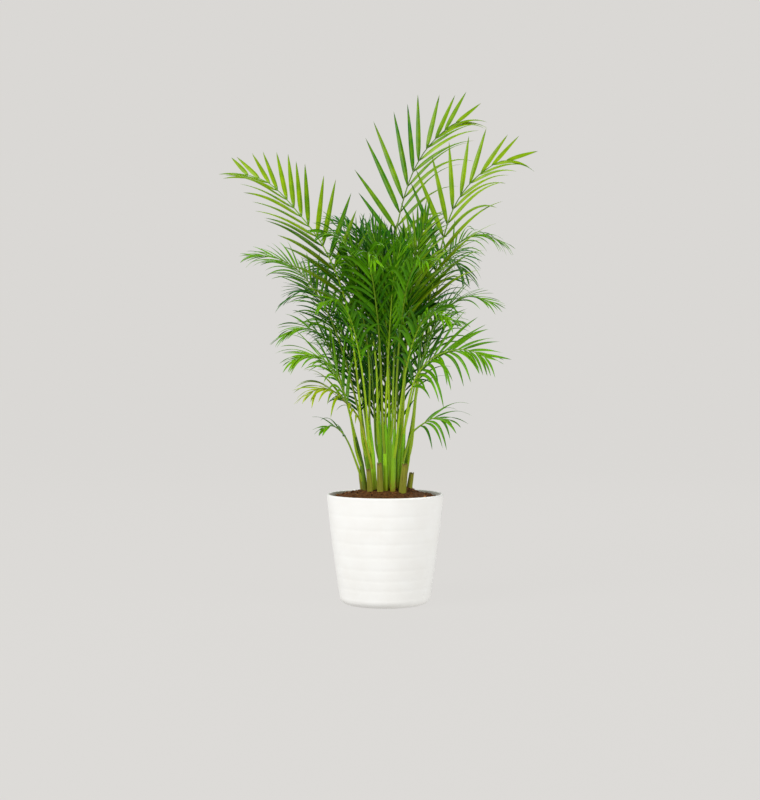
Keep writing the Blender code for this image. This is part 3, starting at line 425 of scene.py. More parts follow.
def draw_up(rise: float, grow: float = 1.0) -> None:
    """Extrudes the selected face upward, then resizes it about the upright axis."""
    bpy.ops.mesh.extrude_region_move(TRANSFORM_OT_translate={"value": (0.0, 0.0, rise)})
    bpy.ops.transform.resize(value=(grow, grow, 1.0), center_override=(0.0, 0.0, 0.0))


def close_piece(smooth: float) -> None:
    """Ends the edit with all faces outward, smooth where they meet at less than the given degrees."""
    bpy.ops.mesh.select_all(action="SELECT")
    bpy.ops.mesh.normals_make_consistent(inside=False)
    bpy.ops.object.mode_set(mode="OBJECT")
    bpy.ops.object.shade_smooth_by_angle(angle=math.radians(smooth))


def join_parts(parts: list, name: str) -> bpy.types.Object:
    """Joins parts into one piece.

    Args:
        parts: The parts.
        name: The piece's name.

    Returns:
        The joined piece.
    """
    clear_selection()
    for part in parts:
        part.select_set(True)
    bpy.context.view_layer.objects.active = parts[0]
    bpy.ops.object.join()
    piece = bpy.context.view_layer.objects.active
    piece.name = name
    piece.data.name = name
    return piece


def hand_over(piece: bpy.types.Object, nodes: tuple) -> None:
    """Rides a finished piece on the plant's one body and says what it stands for.

    Args:
        piece: The finished piece.
        nodes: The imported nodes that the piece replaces.
    """
    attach(piece, BODY)
    if nodes:
        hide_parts(*nodes)
    stands_for = ", ".join(nodes) or "no node"
    log.info("%s: %d faces, stands for %s", piece.name, len(piece.data.polygons), stands_for)


def distances(points: np.ndarray) -> np.ndarray:
    """Length along a line up to each of its points."""
    return np.concatenate(((0.0,), np.cumsum(np.linalg.norm(np.diff(points, axis=0), axis=1))))


def along_line(where: object, stations: np.ndarray, rows: np.ndarray) -> np.ndarray:
    """Reads a line, given by rows at stations, at one station or at many."""
    return np.stack([np.interp(where, stations, rows[:, axis]) for axis in range(3)], axis=-1)


def soft_noise(place: tuple, size: float) -> float:
    """Smooth noise from -1 to 1 at a place, with lumps of about the given size in metres."""
    return noise.noise(Vector(place) / size)


def soil_height(x: float, y: float) -> float:
    """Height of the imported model's soil: a mound round the clump with a few soft lumps.

    Args:
        x: Distance to the right of the pot's axis.
        y: Distance behind it.

    Returns:
        The height above the floor.
    """
    reach = min(1.0, math.hypot(x, y) / RIM_RADIUS)
    level = RIM_HEIGHT - SOIL_EDGE_DROP + SOIL_MOUND * (1.0 - reach ** 1.5)
    lump = LUMP_HEIGHT * math.exp(-(math.hypot(x - LUMP_PLACE[0], y - LUMP_PLACE[1]) / LUMP_SPREAD) ** 2)
    ripple = RIPPLE_HEIGHT * math.sin(95.0 * x + 1.3) * math.cos(88.0 * y - 0.4)
    return level + lump + ripple


def smooth_route(points: np.ndarray, step: float = ROUTE_STEP) -> np.ndarray:
    """Draws a smooth curve through points.

    Args:
        points: The points, one row each.
        step: About how far apart the curve's own points are.

    Returns:
        The curve's points, one row each.
    """
    padded = np.vstack((2.0 * points[0] - points[1], points, 2.0 * points[-1] - points[-2]))
    curve = []
    for before, start, end, after in zip(padded, padded[1:], padded[2:], padded[3:]):
        count = max(2, round(float(np.linalg.norm(end - start)) / step))
        for t in np.arange(count) / count:
            curve.append(0.5 * (2.0 * start + (end - before) * t
                                + (2.0 * before - 5.0 * start + 4.0 * end - after) * t * t
                                + (3.0 * start - before - 3.0 * end + after) * t * t * t))
    curve.append(points[-1])
    return np.array(curve)


@dataclass
class Spine:
    """A centre line with its radii, along which a tube mould is bent."""

    points: np.ndarray
    radii: np.ndarray
    shares: np.ndarray = field(init=False)
    across: np.ndarray = field(init=False)
    other: np.ndarray = field(init=False)

    def __post_init__(self) -> None:
        """Works out the shares of length and the directions across the line, carried on without a twist."""
        reach = distances(self.points)
        self.shares = reach / reach[-1]
        along = unit(np.gradient(self.points, axis=0))
        side = np.cross(along[0], (0.0, 1.0, 0.0))
        rows = []
        for direction in along:
            side = unit(side - direction * float(side @ direction))
            rows.append(side)
        self.across = np.array(rows)
        self.other = np.cross(along, self.across)

    def bend(self, mould: np.ndarray, flatten: float = 1.0) -> np.ndarray:
        """Bends a mould along the line.

        Args:
            mould: Corners of a tube of radius one that runs from height zero to height one.
            flatten: How thick the tube is in its second direction, against the first.

        Returns:
            The places of the corners.
        """
        level = np.clip(mould[:, 2], 0.0, 1.0)
        centre, across, other = (along_line(level, self.shares, rows)
                                 for rows in (self.points, self.across, self.other))
        radius = np.interp(level, self.shares, self.radii)[:, None]
        return centre + across * mould[:, :1] * radius + other * mould[:, 1:2] * radius * flatten


@dataclass
class TubeMould:
    """A straight tube of radius one and height one, extruded ring by ring, that stems are bent from."""

    name: str
    sides: int
    rings: int

    def build(self) -> bpy.types.Object:
        """Models the tube from a disc.

        Returns:
            The mould, with around-and-along coordinates for patterns.
        """
        mould = start_disc(self.name, self.sides, 1.0, 0.0)
        for _ in range(self.rings):
            draw_up(1.0 / self.rings)
        close_piece(60.0)
        self.wrap(mould)
        return mould

    @staticmethod
    def wrap(mould: bpy.types.Object) -> None:
        """Gives a tube its pattern coordinates: once around for U, once along for V."""
        layer = mould.data.uv_layers.get(UV) or mould.data.uv_layers.new(name=UV)
        for face in mould.data.polygons:
            middle = math.atan2(face.center.y, face.center.x)
            for loop in face.loop_indices:
                place = mould.data.vertices[mould.data.loops[loop].vertex_index].co
                turn = math.atan2(place.y, place.x) - middle
                turn = middle + math.remainder(turn, 2.0 * math.pi)
                layer.data[loop].uv = (turn / (2.0 * math.pi) + 0.5, place.z)

    @staticmethod
    def tint_along(piece: bpy.types.Object, tone: float, spot: float) -> None:
        """Tints a bent tube: red runs from its foot to its tip, green and blue are its own.

        Args:
            piece: The tube, with its pattern coordinates.
            tone: The piece's own tone, from zero to one.
            spot: The piece's own wear, from zero to one.
        """
        coordinates = np.empty(len(piece.data.loops) * 2, dtype=np.float32)
        piece.data.uv_layers[UV].data.foreach_get("uv", coordinates)
        rows = np.tile((0.0, tone, spot, 1.0), (len(piece.data.loops), 1))
        rows[:, 0] = coordinates[1::2]
        tint_piece(piece, rows)


# ---------------------------------------------------------------- finishes


def new_material(name: str) -> tuple[bpy.types.Material, Callable]:
    """Makes an empty node material.

    Args:
        name: The material's name.

    Returns:
        The material, and the function that adds a node to it.
    """
    material = bpy.data.materials.new(name)
    material.use_nodes = True
    material.node_tree.nodes.clear()
    return material, partial(add_node, material.node_tree)


def tint_channels(add: Callable) -> list:
    """Reads the red, green and blue of a piece's tint."""
    return list(add("SeparateColor", {0: add("Attribute", {"attribute_name": TINT})}).node.outputs[:3])


def streaks(add: Callable, stretch: tuple, seed: bpy.types.NodeSocket, values: dict) -> bpy.types.NodeSocket:
    """Draws noise that follows a piece's own around-and-along coordinates.

    Args:
        add: The function that adds a node to the material.
        stretch: How many times the noise repeats in each direction.
        seed: A value of the piece's own, so that no two pieces match.
        values: The noise's settings.

    Returns:
        The noise, from zero to one.
    """
    lines = add("Mapping", {0: add("UVMap", {"uv_map": UV}), "Scale": stretch})
    return add("TexNoise", {"noise_dimensions": "4D", 0: lines, "W": seed, **values})


def coat(add: Callable, values: dict) -> None:
    """Ends a material with the surface that light falls on."""
    add("OutputMaterial", {0: add("BsdfPrincipled", values)})


@dataclass(frozen=True)
class WhiteGlaze:
    """Satin white glaze over turned earthenware: a smooth coat that blurs reflections, thin over the lip."""

    colour: str = "f4f4f1"
    thin: str = "f0efeb"
    roughness: float = 0.34
    ior: float = 1.5
    pinhole: float = 0.0011
    pool: float = 0.045
    finger_lines: float = 196.0

    def make(self) -> bpy.types.Material:
        """Builds the material, with the glaze's slow drift in tone and its faint orange-peel skin."""
        material, add = new_material("satin_white_glaze")
        spot = add("TexCoord", {}, OBJECT_PLACE)
        drift = add("TexNoise", {0: spot, "Scale": 1.0 / self.pool, "Detail": 3.0})
        drift = add("MapRange", {0: drift, 1: 0.35, 2: 0.75})
        tone = add("Mix", {**COLOURS, 0: drift, 6: linear(self.colour), 7: linear(self.thin)}, MIXED)
        sheen = add("MapRange", {0: drift, 3: self.roughness - 0.04, 4: self.roughness + 0.06})
        peel = add("TexNoise", {0: spot, "Scale": 1.0 / self.pinhole, "Detail": 2.0})
        # the potter's finger left lines about 1.6 mm apart between the broad ribs
        finger = add("TexWave", {0: spot, "bands_direction": "Z", "Scale": self.finger_lines,
                                 "Distortion": 1.2, "Detail": 1.0}, 1)
        height = add("Mix", {0: 0.35, 2: peel, 3: finger})
        skin = add("Bump", {"Strength": 0.10, "Distance": 0.0002, "Height": height})
        coat(add, {"Base Color": tone, "Roughness": sheen, "IOR": self.ior, "Normal": skin})
        return material


@dataclass(frozen=True)
class BareClay:
    """Fired biscuit clay on the foot ring, left unglazed: matt, chalky and slightly gritty."""

    dark: str = "cfc4b2"
    pale: str = "e3dccd"

    def make(self) -> bpy.types.Material:
        """Builds the material."""
        material, add = new_material("unglazed_biscuit_clay")
        grit = add("TexNoise", {0: add("TexCoord", {}, OBJECT_PLACE), "Scale": 900.0, "Detail": 4.0})
        tone = add("Mix", {**COLOURS, 0: grit, 6: linear(self.dark), 7: linear(self.pale)}, MIXED)
        skin = add("Bump", {"Strength": 0.4, "Distance": 0.0003, "Height": grit})
        coat(add, {"Base Color": tone, "Roughness": 0.85, "Normal": skin})
        return material


@dataclass(frozen=True)
class CoirSoil:
    """Coir and bark potting mix: crumbly red-brown pith, fully matt, with painted shade: the hollows between
    its lumps are coloured dark.
    """

    dark: str = "1e1106"
    pith: str = "7a4c22"
    fleck: str = "b47e42"
    crumb: float = 0.0032

    def make(self, name: str) -> bpy.types.Material:
        """Builds the material.

        Args:
            name: What the finish is on.

        Returns:
            The material; tint red moves a crumb's tone, green makes it a pale fleck.
        """
        material, add = new_material("coir_" + name)
        spot = add("TexCoord", {}, OBJECT_PLACE)
        lumps = add("TexNoise", {0: spot, "Scale": 1.0 / self.crumb, "Detail": 6.0, "Roughness": 0.7})
        share = add("MapRange", {0: lumps, 1: 0.38, 2: 0.64})
        own, pale, _ = tint_channels(add)
        share = add("Math", {"operation": "MULTIPLY_ADD", 0: own, 1: 0.7, 2: share})
        share = add("Math", {"operation": "SUBTRACT", 0: share, 1: 0.35})
        # painted shade: the low parts of the lumps, which the bump sinks, turn the dark colour
        tone = add("Mix", {**COLOURS, 0: share, 6: linear(self.dark), 7: linear(self.pith)}, MIXED)
        tone = add("Mix", {**COLOURS, 0: pale, 6: tone, 7: linear(self.fleck)}, MIXED)
        grain = add("TexNoise", {0: spot, "Scale": 1600.0, "Detail": 3.0})
        skin = add("Bump", {"Strength": 0.8, "Distance": 0.0012, "Height": lumps})
        skin = add("Bump", {"Strength": 0.6, "Distance": 0.0004, "Height": grain, "Normal": skin})
        coat(add, {"Base Color": tone, "Roughness": 0.95, "Normal": skin, "Specular IOR Level": 0.2})
        return material


@dataclass(frozen=True)
class CaneSkin:
    """Leaf sheath wrapped round an areca cane: smooth ribbed skin, golden where the sun reaches it."""

    foot: str = "7e7a06"
    middle: str = "86b400"
    top: str = "7cbc00"
    dry: str = "865c1c"

    def make(self) -> bpy.types.Material:
        """Builds the material; tint red runs up the cane, green is its tone and blue its dryness."""
        material, add = new_material("areca_cane_sheath")
        along, own_tone, dryness = tint_channels(add)
        ribs = streaks(add, (34.0, 3.0, 1.0), own_tone, {"Scale": 1.0, "Detail": 4.0, "Roughness": 0.6})
        low = add("MapRange", {0: along, 1: 0.05, 2: 0.40})
        high = add("MapRange", {0: along, 1: 0.40, 2: 0.95})
        tone = add("Mix", {**COLOURS, 0: low, 6: linear(self.foot), 7: linear(self.middle)}, MIXED)
        tone = add("Mix", {**COLOURS, 0: high, 6: tone, 7: linear(self.top)}, MIXED)
        fibres = add("MapRange", {0: ribs, 1: 0.3, 2: 0.7, 3: 0.56, 4: 1.24})
        own = add("MapRange", {0: own_tone, 3: 0.42, 4: 1.50})
        fibres = add("Math", {"operation": "MULTIPLY", 0: fibres, 1: own})
        tone = add("Mix", {**SHADING, 6: tone, 7: fibres}, MIXED)
        blotch = streaks(add, (3.0, 5.0, 1.0), own_tone, {"Scale": 1.6, "Detail": 5.0, "Roughness": 0.65})
        worn = add("MapRange", {0: along, 1: 0.55, 2: 0.10, 3: -0.20, 4: 0.16})
        worn = add("Math", {"operation": "ADD", 0: blotch, 1: worn})
        worn = add("MapRange", {0: worn, 1: 0.52, 2: 0.68})
        worn = add("Math", {"operation": "MULTIPLY", 0: worn, 1: dryness})
        tone = add("Mix", {**COLOURS, 0: worn, 6: tone, 7: linear(self.dry)}, MIXED)
        skin = add("Bump", {"Strength": 0.35, "Distance": 0.0004, "Height": ribs})
        coat(add, {"Base Color": tone, "Roughness": 0.42, "IOR": PLANT_IOR, "Normal": skin})
        return material


@dataclass(frozen=True)
class OldSheath:
    """Dead leaf base, cut and dried: straw-brown papery fibre with dark strands, matt."""

    straw: str = "8a9410"
    bark: str = "685c10"
    cut: str = "6a5620"

    def make(self) -> bpy.types.Material:
        """Builds the material; tint red runs up the stub and green is its tone."""
        material, add = new_material("dry_leaf_base")
        along, own_tone, _ = tint_channels(add)
        strands = streaks(add, (26.0, 2.2, 1.0), own_tone, {"Scale": 1.0, "Detail": 6.0, "Roughness": 0.7})
        share = add("MapRange", {0: strands, 1: 0.36, 2: 0.62})
        tone = add("Mix", {**COLOURS, 0: share, 6: linear(self.bark), 7: linear(self.straw)}, MIXED)
        edge = add("MapRange", {0: along, 1: 0.88, 2: 1.0, 3: 0.0, 4: 0.8})
        tone = add("Mix", {**COLOURS, 0: edge, 6: tone, 7: linear(self.cut)}, MIXED)
        skin = add("Bump", {"Strength": 0.7, "Distance": 0.0008, "Height": strands})
        coat(add, {"Base Color": tone, "Roughness": 0.8, "Normal": skin})
        return material


@dataclass(frozen=True)
class LeafletBlade:
    """Living palm leaflet: ribbed green tissue under a waxy skin, paler along its middle and underneath."""

    shade: str
    light: str
    under: str = "46900a"
    rib: str = "70ac08"
    dry: str = "a98b4c"
    roughness: float = 0.40

    def make(self, green: Green) -> bpy.types.Material:
        """Builds the blade's material.

        Args:
            green: The green that it is for.

        Returns:
            The material; tint red is a leaflet's tone, darker deep in the clump as painted shade, green its
            dryness and blue its underside.
        """
        material, add = new_material("areca_blade_" + green.name.lower())
        along, across, _ = add("SeparateXYZ", {0: add("UVMap", {"uv_map": UV})}).node.outputs
        own_tone, dryness, underside = tint_channels(add)
        seed = add("Math", {"operation": "MULTIPLY_ADD", 0: own_tone, 1: 61.0, 2: 0.37})
        # ribs run the length of the blade, drawn 3 mm apart so that they show
        ribs = streaks(add, (1.4, 5.0, 1.0), seed, {"Scale": 1.0, "Detail": 1.0, "Roughness": 0.5})
        cloud = add("TexNoise", {0: add("TexCoord", {}, OBJECT_PLACE), "Scale": 38.0, "Detail": 2.0})
        cloud = add("MapRange", {0: cloud, 1: 0.3, 2: 0.7, 3: -0.22, 4: 0.22})
        # the tone from shade green to light green carries the painted shade of leaflets deep in the clump
        share = add("Math", {"operation": "ADD", 0: own_tone, 1: cloud, "use_clamp": True})
        tone = add("Mix", {**COLOURS, 0: share, 6: linear(self.shade), 7: linear(self.light)}, MIXED)
        lift = add("MapRange", {0: ribs, 1: 0.32, 2: 0.68, 3: 0.78, 4: 1.20})
        tone = add("Mix", {**SHADING, 6: tone, 7: lift}, MIXED)
        middle = add("Math", {"operation": "SUBTRACT", 0: across, 1: 0.5})
        middle = add("Math", {"operation": "ABSOLUTE", 0: middle})
        middle = add("MapRange", {0: middle, 1: 0.12, 2: 0.04, 3: 0.0, 4: 0.34})
        foot = add("MapRange", {0: along, 1: 0.10, 2: 0.0, 3: 0.0, 4: 0.5})
        below = add("Math", {"operation": "MULTIPLY", 0: underside, 1: 0.38})
        scorch = add("Math", {"operation": "MULTIPLY_ADD", 0: ribs, 1: 0.10, 2: along})
        scorch = add("MapRange", {0: scorch, 1: 0.97, 2: 1.03})
        scorch = add("Math", {"operation": "MULTIPLY", 0: scorch, 1: dryness})
        for place, colour in ((middle, self.rib), (foot, self.rib), (below, self.under), (scorch, self.dry)):
            tone = add("Mix", {**COLOURS, 0: place, 6: tone, 7: linear(colour)}, MIXED)
        skin = add("Bump", {"Strength": 0.25, "Distance": 0.0003, "Height": ribs})
        coat(add, {"Base Color": tone, "Roughness": self.roughness, "IOR": 1.40, "Specular IOR Level": 0.24,
                   "Normal": skin})
        return material


@dataclass(frozen=True)
class StalkSkin:
    """Frond stalk and midrib: firm, faintly ribbed and waxy, yellow at its base and greener outward."""

    base: str
    tip: str

    def make(self, green: Green) -> bpy.types.Material:
        """Builds the stalk's material.

        Args:
            green: The green that it is for.

        Returns:
            The material; tint red runs from the stalk's base to its tip and green is its tone.
        """
        material, add = new_material("areca_stalk_" + green.name.lower())
        along, own_tone, _ = tint_channels(add)
        share = add("MapRange", {0: along, 1: 0.15, 2: 0.85})
        tone = add("Mix", {**COLOURS, 0: share, 6: linear(self.base), 7: linear(self.tip)}, MIXED)
        streak = streaks(add, (9.0, 14.0, 1.0), own_tone, {"Scale": 1.0, "Detail": 3.0})
        lift = add("MapRange", {0: streak, 1: 0.3, 2: 0.7, 3: 0.80, 4: 1.15})
        own = add("MapRange", {0: own_tone, 3: 0.60, 4: 1.36})
        lift = add("Math", {"operation": "MULTIPLY", 0: lift, 1: own})
        tone = add("Mix", {**SHADING, 6: tone, 7: lift}, MIXED)
        skin = add("Bump", {"Strength": 0.25, "Distance": 0.0003, "Height": streak})
        coat(add, {"Base Color": tone, "Roughness": 0.42, "IOR": PLANT_IOR, "Normal": skin})
        return material


# Blade and stalk finishes, and how far the leaflets stray from the regular, for each green
BLADES = {
    Green.BRIGHT: LeafletBlade("1e6400", "82a200"),
    Green.MID: LeafletBlade("044c00", "68a400"),
    # painted shade: fronds deep in and at the back of the clump get a much darker blade green
    Green.DEEP: LeafletBlade("013400", "187000"),
    Green.PALE: LeafletBlade("387a04", "7cb216"),
    Green.YELLOW: LeafletBlade("6c9400", "aaba0c"),
}
STALKS = {
    Green.BRIGHT: StalkSkin("a0be04", "5c8808"),
    Green.MID: StalkSkin("94b406", "749e10"),
    # painted shade: the stalks of those inner and back fronds are darker too
    Green.DEEP: StalkSkin("7c9c08", "588610"),
    Green.PALE: StalkSkin("8eb00a", "5c8c14"),
    Green.YELLOW: StalkSkin("b4be08", "94a410"),
}
WILDNESS = {Green.BRIGHT: 0.8, Green.MID: 1.6, Green.DEEP: 1.9, Green.PALE: 1.6, Green.YELLOW: 1.6}


# ---------------------------------------------------------------- pot and soil


@dataclass
class CoverPot:
    """The turned cover pot: foot ring, rounded corner, ribbed flared side, rolled lip and inner wall."""

    foot_radius: float = 0.088
    foot_ring: float = 0.009
    foot_recess: float = 0.0025
    corner: float = 0.020
    side_base: float = 0.1070
    floor: float = 0.012
    belly: float = 0.0015
    inner_foot: float = 0.085
    inner_corner: float = 0.018
    ribs: tuple = (0.2115, 0.1805, 0.1485, 0.1175, 0.0885, 0.0645, 0.0415)
    rib_depth: float = 0.00032
    rib_width: float = 0.0042
    segments: int = 128

    def side(self, height: float) -> float:
        """Outer radius of the flared side at a height, without its ribs."""
        share = (height - self.corner) / (RIM_HEIGHT - self.corner)
        swell = self.belly * math.sin(math.pi * share)
        return self.side_base + (RIM_RADIUS - self.side_base) * share + swell

    def ribbed(self, height: float) -> float:
        """Outer radius with the shallow grooves that the turning left between broad ribs."""
        groove = sum(math.exp(-(((height - rib) / self.rib_width) ** 2)) for rib in self.ribs)
        return self.side(height) - self.rib_depth * groove

    def outline(self) -> list:
        """Works out the outline that is turned.

        Returns:
            Points of radius and height, from the foot's recess round the outside to the inner floor.
        """
        inner_foot = self.foot_radius - self.foot_ring
        points = [(inner_foot - 0.002, self.foot_recess), (inner_foot, 0.0), (self.foot_radius, 0.0)]
        for step in range(1, 13):
            angle = math.radians(-90.0 + 7.5 * step)
            points.append((self.side_base - self.corner + self.corner * math.cos(angle),
                           self.corner + self.corner * math.sin(angle)))
        top = RIM_HEIGHT - LIP / 2.0
        levels = np.linspace(self.corner, top, 96)[1:-1]
        points += [(self.ribbed(level), level) for level in levels]
        for step in range(11):
            angle = math.radians(18.0 * step)
            points.append((RIM_RADIUS - LIP / 2.0 * (1.0 - math.cos(angle)),
                           top + LIP / 2.0 * math.sin(angle)))
        for level in np.linspace(top - 0.004, self.floor + 0.03, 14):
            points.append((self.side(level) - WALL, level))
        for step in range(1, 7):
            angle = math.radians(15.0 * step)
            points.append((self.inner_foot - 0.004 + self.inner_corner * math.cos(angle),
                           self.floor + self.inner_corner * (1.0 - math.sin(angle))))
        return points

    def build(self) -> bpy.types.Object:
        """Turns the pot: a disc's face is extruded and resized from point to point of the outline.

        Returns:
            The pot, glazed, with a bare foot ring.
        """
        outline = self.outline()
        pot = start_disc("cover_pot", self.segments, *outline[0])
        for (radius, height), (next_radius, next_height) in zip(outline, outline[1:]):
            draw_up(next_height - height, next_radius / radius)
        close_piece(35.0)
        pot.data.materials.append(WhiteGlaze().make())
        pot.data.materials.append(BareClay().make())
        for face in pot.data.polygons:
            outer = math.hypot(face.center.x, face.center.y) > 0.05
            face.material_index = int(outer and face.center.z < 0.0004)
        return pot


@dataclass
class SoilBed:
    """The plug of coir mix in the pot, with its loose crumbs and strands."""

    pot: CoverPot
    segments: int = 96
    rings: int = 26
    depth: float = 0.10
    crumbs: int = 620
    strands: int = 150
    crumb_spans: tuple = ((0.6, 1.5), (0.6, 1.3), (0.45, 0.9))
    crumb_sizes: tuple = (0.0008, 0.0030)
    fleck_share: float = 0.10
    strand_lengths: tuple = (0.007, 0.020)
    strand_radii: tuple = (0.00022, 0.00045)
    strand_steps: int = 7
    seed: int = 5

    def surface(self, x: float, y: float) -> float:
        """Height of the soil with its fine lumps, a few millimetres high."""
        lumps = soft_noise((x, y, 0.0), 0.016) * 0.0022 + soft_noise((x, y, 0.3), 0.006) * 0.0014
        return soil_height(x, y) + lumps

    def build(self) -> bpy.types.Object:
        """Models the plug: a disc extruded up to the surface, inset ring by ring and roughened.

        Returns:
            The soil.
        """
        top = RIM_HEIGHT - SOIL_EDGE_DROP
        radius = self.pot.side(top) - WALL - 0.0003
        low_radius = self.pot.side(top - self.depth) - WALL - 0.0006
        soil = start_disc("potting_soil", self.segments, low_radius, top - self.depth)
        draw_up(self.depth, radius / low_radius)
        for _ in range(self.rings - 1):
            bpy.ops.mesh.inset(thickness=radius / self.rings)
        bpy.ops.mesh.poke()
        close_piece(180.0)
        places = corner_places(soil)
        for place in places:
            if place[2] > top - self.depth / 2.0:
                place[2] = self.surface(place[0], place[1])
        move_corners(soil, places)
        bpy.ops.object.shade_smooth_by_angle(angle=math.radians(50.0))
        tint_piece(soil, np.array((0.5, 0.0, 0.0, 1.0)))
        soil.data.materials.append(CoirSoil().make("bed"))
        return soil

    def scatter(self, chance: random.Random) -> tuple:
        """Picks a random spot on the soil.

        Args:
            chance: The random draws.

        Returns:
            Its place to the right, behind and above.
        """
        reach = (self.pot.side(RIM_HEIGHT - SOIL_EDGE_DROP) - WALL - 0.004) * math.sqrt(chance.random())
        turn = chance.uniform(0.0, 2.0 * math.pi)
        x, y = reach * math.cos(turn), reach * math.sin(turn)
        return x, y, self.surface(x, y)

    @staticmethod
    def gather(mould: bpy.types.Object, copies: list, name: str) -> bpy.types.Object:
        """Joins scattered copies, finishes them in coir and removes their mould.

        Args:
            mould: The mould.
            copies: Its copies.
            name: What they are.

        Returns:
            The copies as one piece.
        """
        bpy.data.objects.remove(mould)
        piece = join_parts(copies, "soil_" + name)
        piece.data.materials.append(CoirSoil().make(name))
        return piece

    def build_crumbs(self) -> bpy.types.Object:
        """Models one crumb and scatters squashed, turned copies of it.

        Returns:
            The crumbs as one piece.
        """
        chance = random.Random(self.seed)
        clear_selection()
        bpy.ops.mesh.primitive_ico_sphere_add(subdivisions=1, radius=1.0)
        mould = bpy.context.object
        bpy.ops.object.shade_flat()
        shape = corner_places(mould)
        copies = []
        for index in range(self.crumbs):
            size = min(self.crumb_sizes[1], self.crumb_sizes[0] + chance.expovariate(1100.0))
            lumps = np.array([chance.uniform(0.6, 1.25) for _ in range(len(shape))])[:, None]
            stretch = np.array([chance.uniform(*span) for span in self.crumb_spans])
            turn = chance.uniform(0.0, 2.0 * math.pi)
            spin = np.array(((math.cos(turn), -math.sin(turn), 0.0), (math.sin(turn), math.cos(turn), 0.0),
                             (0.0, 0.0, 1.0)))
            spot = np.array(self.scatter(chance)) + UP * size * 0.25
            crumb = copy_mould(mould, f"crumb_{index}", (shape * lumps * stretch * size) @ spin.T + spot)
            fleck = float(chance.random() < self.fleck_share)
            tint_piece(crumb, np.array((chance.random(), fleck * chance.uniform(0.4, 1.0), 0.0, 1.0)))
            copies.append(crumb)
        return self.gather(mould, copies, "crumbs")

    def build_strands(self) -> bpy.types.Object:
        """Bends short coir fibres that lie loose on the soil.

        Returns:
            The fibres as one piece.
        """
        chance = random.Random(self.seed + 1)
        mould = TubeMould("strand_mould", 3, 5).build()
        shape = corner_places(mould)
        copies = []
        for index in range(self.strands):
            start = np.array(self.scatter(chance))
            turn = chance.uniform(0.0, 2.0 * math.pi)
            length = chance.uniform(*self.strand_lengths)
            line = [start]
            for _ in range(self.strand_steps):
                turn += chance.gauss(0.0, 0.35)
                step = np.array((math.cos(turn), math.sin(turn), 0.0)) * length / self.strand_steps
                line.append(line[-1] + step)
            line = [spot for spot in line if math.hypot(spot[0], spot[1]) < RIM_RADIUS - WALL - 0.006]
            if len(line) < 4:
                continue
            lift = chance.uniform(0.0004, 0.0016)
            line = np.array([(x, y, self.surface(x, y) + lift) for x, y, _ in line])
            radii = np.linspace(1.0, 0.5, len(line)) * chance.uniform(*self.strand_radii)
            fibre = copy_mould(mould, f"strand_{index}", Spine(line, radii).bend(shape))
            tint_piece(fibre, np.array((chance.uniform(0.4, 1.0), chance.uniform(0.0, 0.6), 0.0, 1.0)))
            copies.append(fibre)
        return self.gather(mould, copies, "strands")


# ---------------------------------------------------------------- canes and old leaf bases


def cane_line(plan: CanePlan) -> np.ndarray:
    """Centre line of a cane: from the bottom of its pocket, leaning outward more and more.

    Args:
        plan: The cane.

    Returns:
        Six points, one row each.
    """
    foot = np.array((*plan.foot, soil_height(*plan.foot)))
    top = np.array(plan.top)
    knee = (foot + top) / 2.0 - np.array((top[0] - foot[0], top[1] - foot[1], 0.0)) * CANE_LEAN_LATE
    low = foot - UP * POCKET_DEPTH
    return np.array((low, foot, foot + (knee - foot) * 0.55, knee, knee + (top - knee) * 0.55, top))


@dataclass
class Canes:
    """The living canes, bent from one tube, with the steps where one sheath wraps the next."""

    sides: int = 16
    rings: int = 44
    step_size: float = 0.07
    step_fade: float = 0.16
    wraps: int = 3
    squashes: tuple = (0.84, 0.97)
    seed: int = 3

    def build(self) -> list:
        """Bends, steps and tints the canes.

        Returns:
            The pieces with the names of the nodes they stand for.
        """
        chance = random.Random(self.seed)
        mould = TubeMould("cane_mould", self.sides, self.rings).build()
        shape = corner_places(mould)
        skin = CaneSkin().make()
        pieces = []
        for plan in CANES:
            line = cane_line(plan)
            reach = distances(line)
            curve = smooth_route(line)
            spine = Spine(curve, np.ones(len(curve)))
            radii = plan.radius * np.interp(spine.shares, reach / reach[-1], CANE_TAPER)
            for wrap in sorted(chance.uniform(0.25, 0.95) for _ in range(self.wraps)):
                below = spine.shares < wrap
                radii *= 1.0 + self.step_size * below * np.exp((spine.shares - wrap) / self.step_fade)
            radii *= 1.0 + 0.015 * np.sin(spine.shares * 31.0 + chance.uniform(0.0, 6.0))
            squash = chance.uniform(*self.squashes)
            cane = copy_mould(mould, plan.name + "_sheaths", Spine(curve, radii).bend(shape, squash))
            TubeMould.tint_along(cane, chance.random(), chance.uniform(0.2, 1.0))
            cane.data.materials.append(skin)
            pieces.append((cane, plan.name))
        bpy.data.objects.remove(mould)
        return pieces


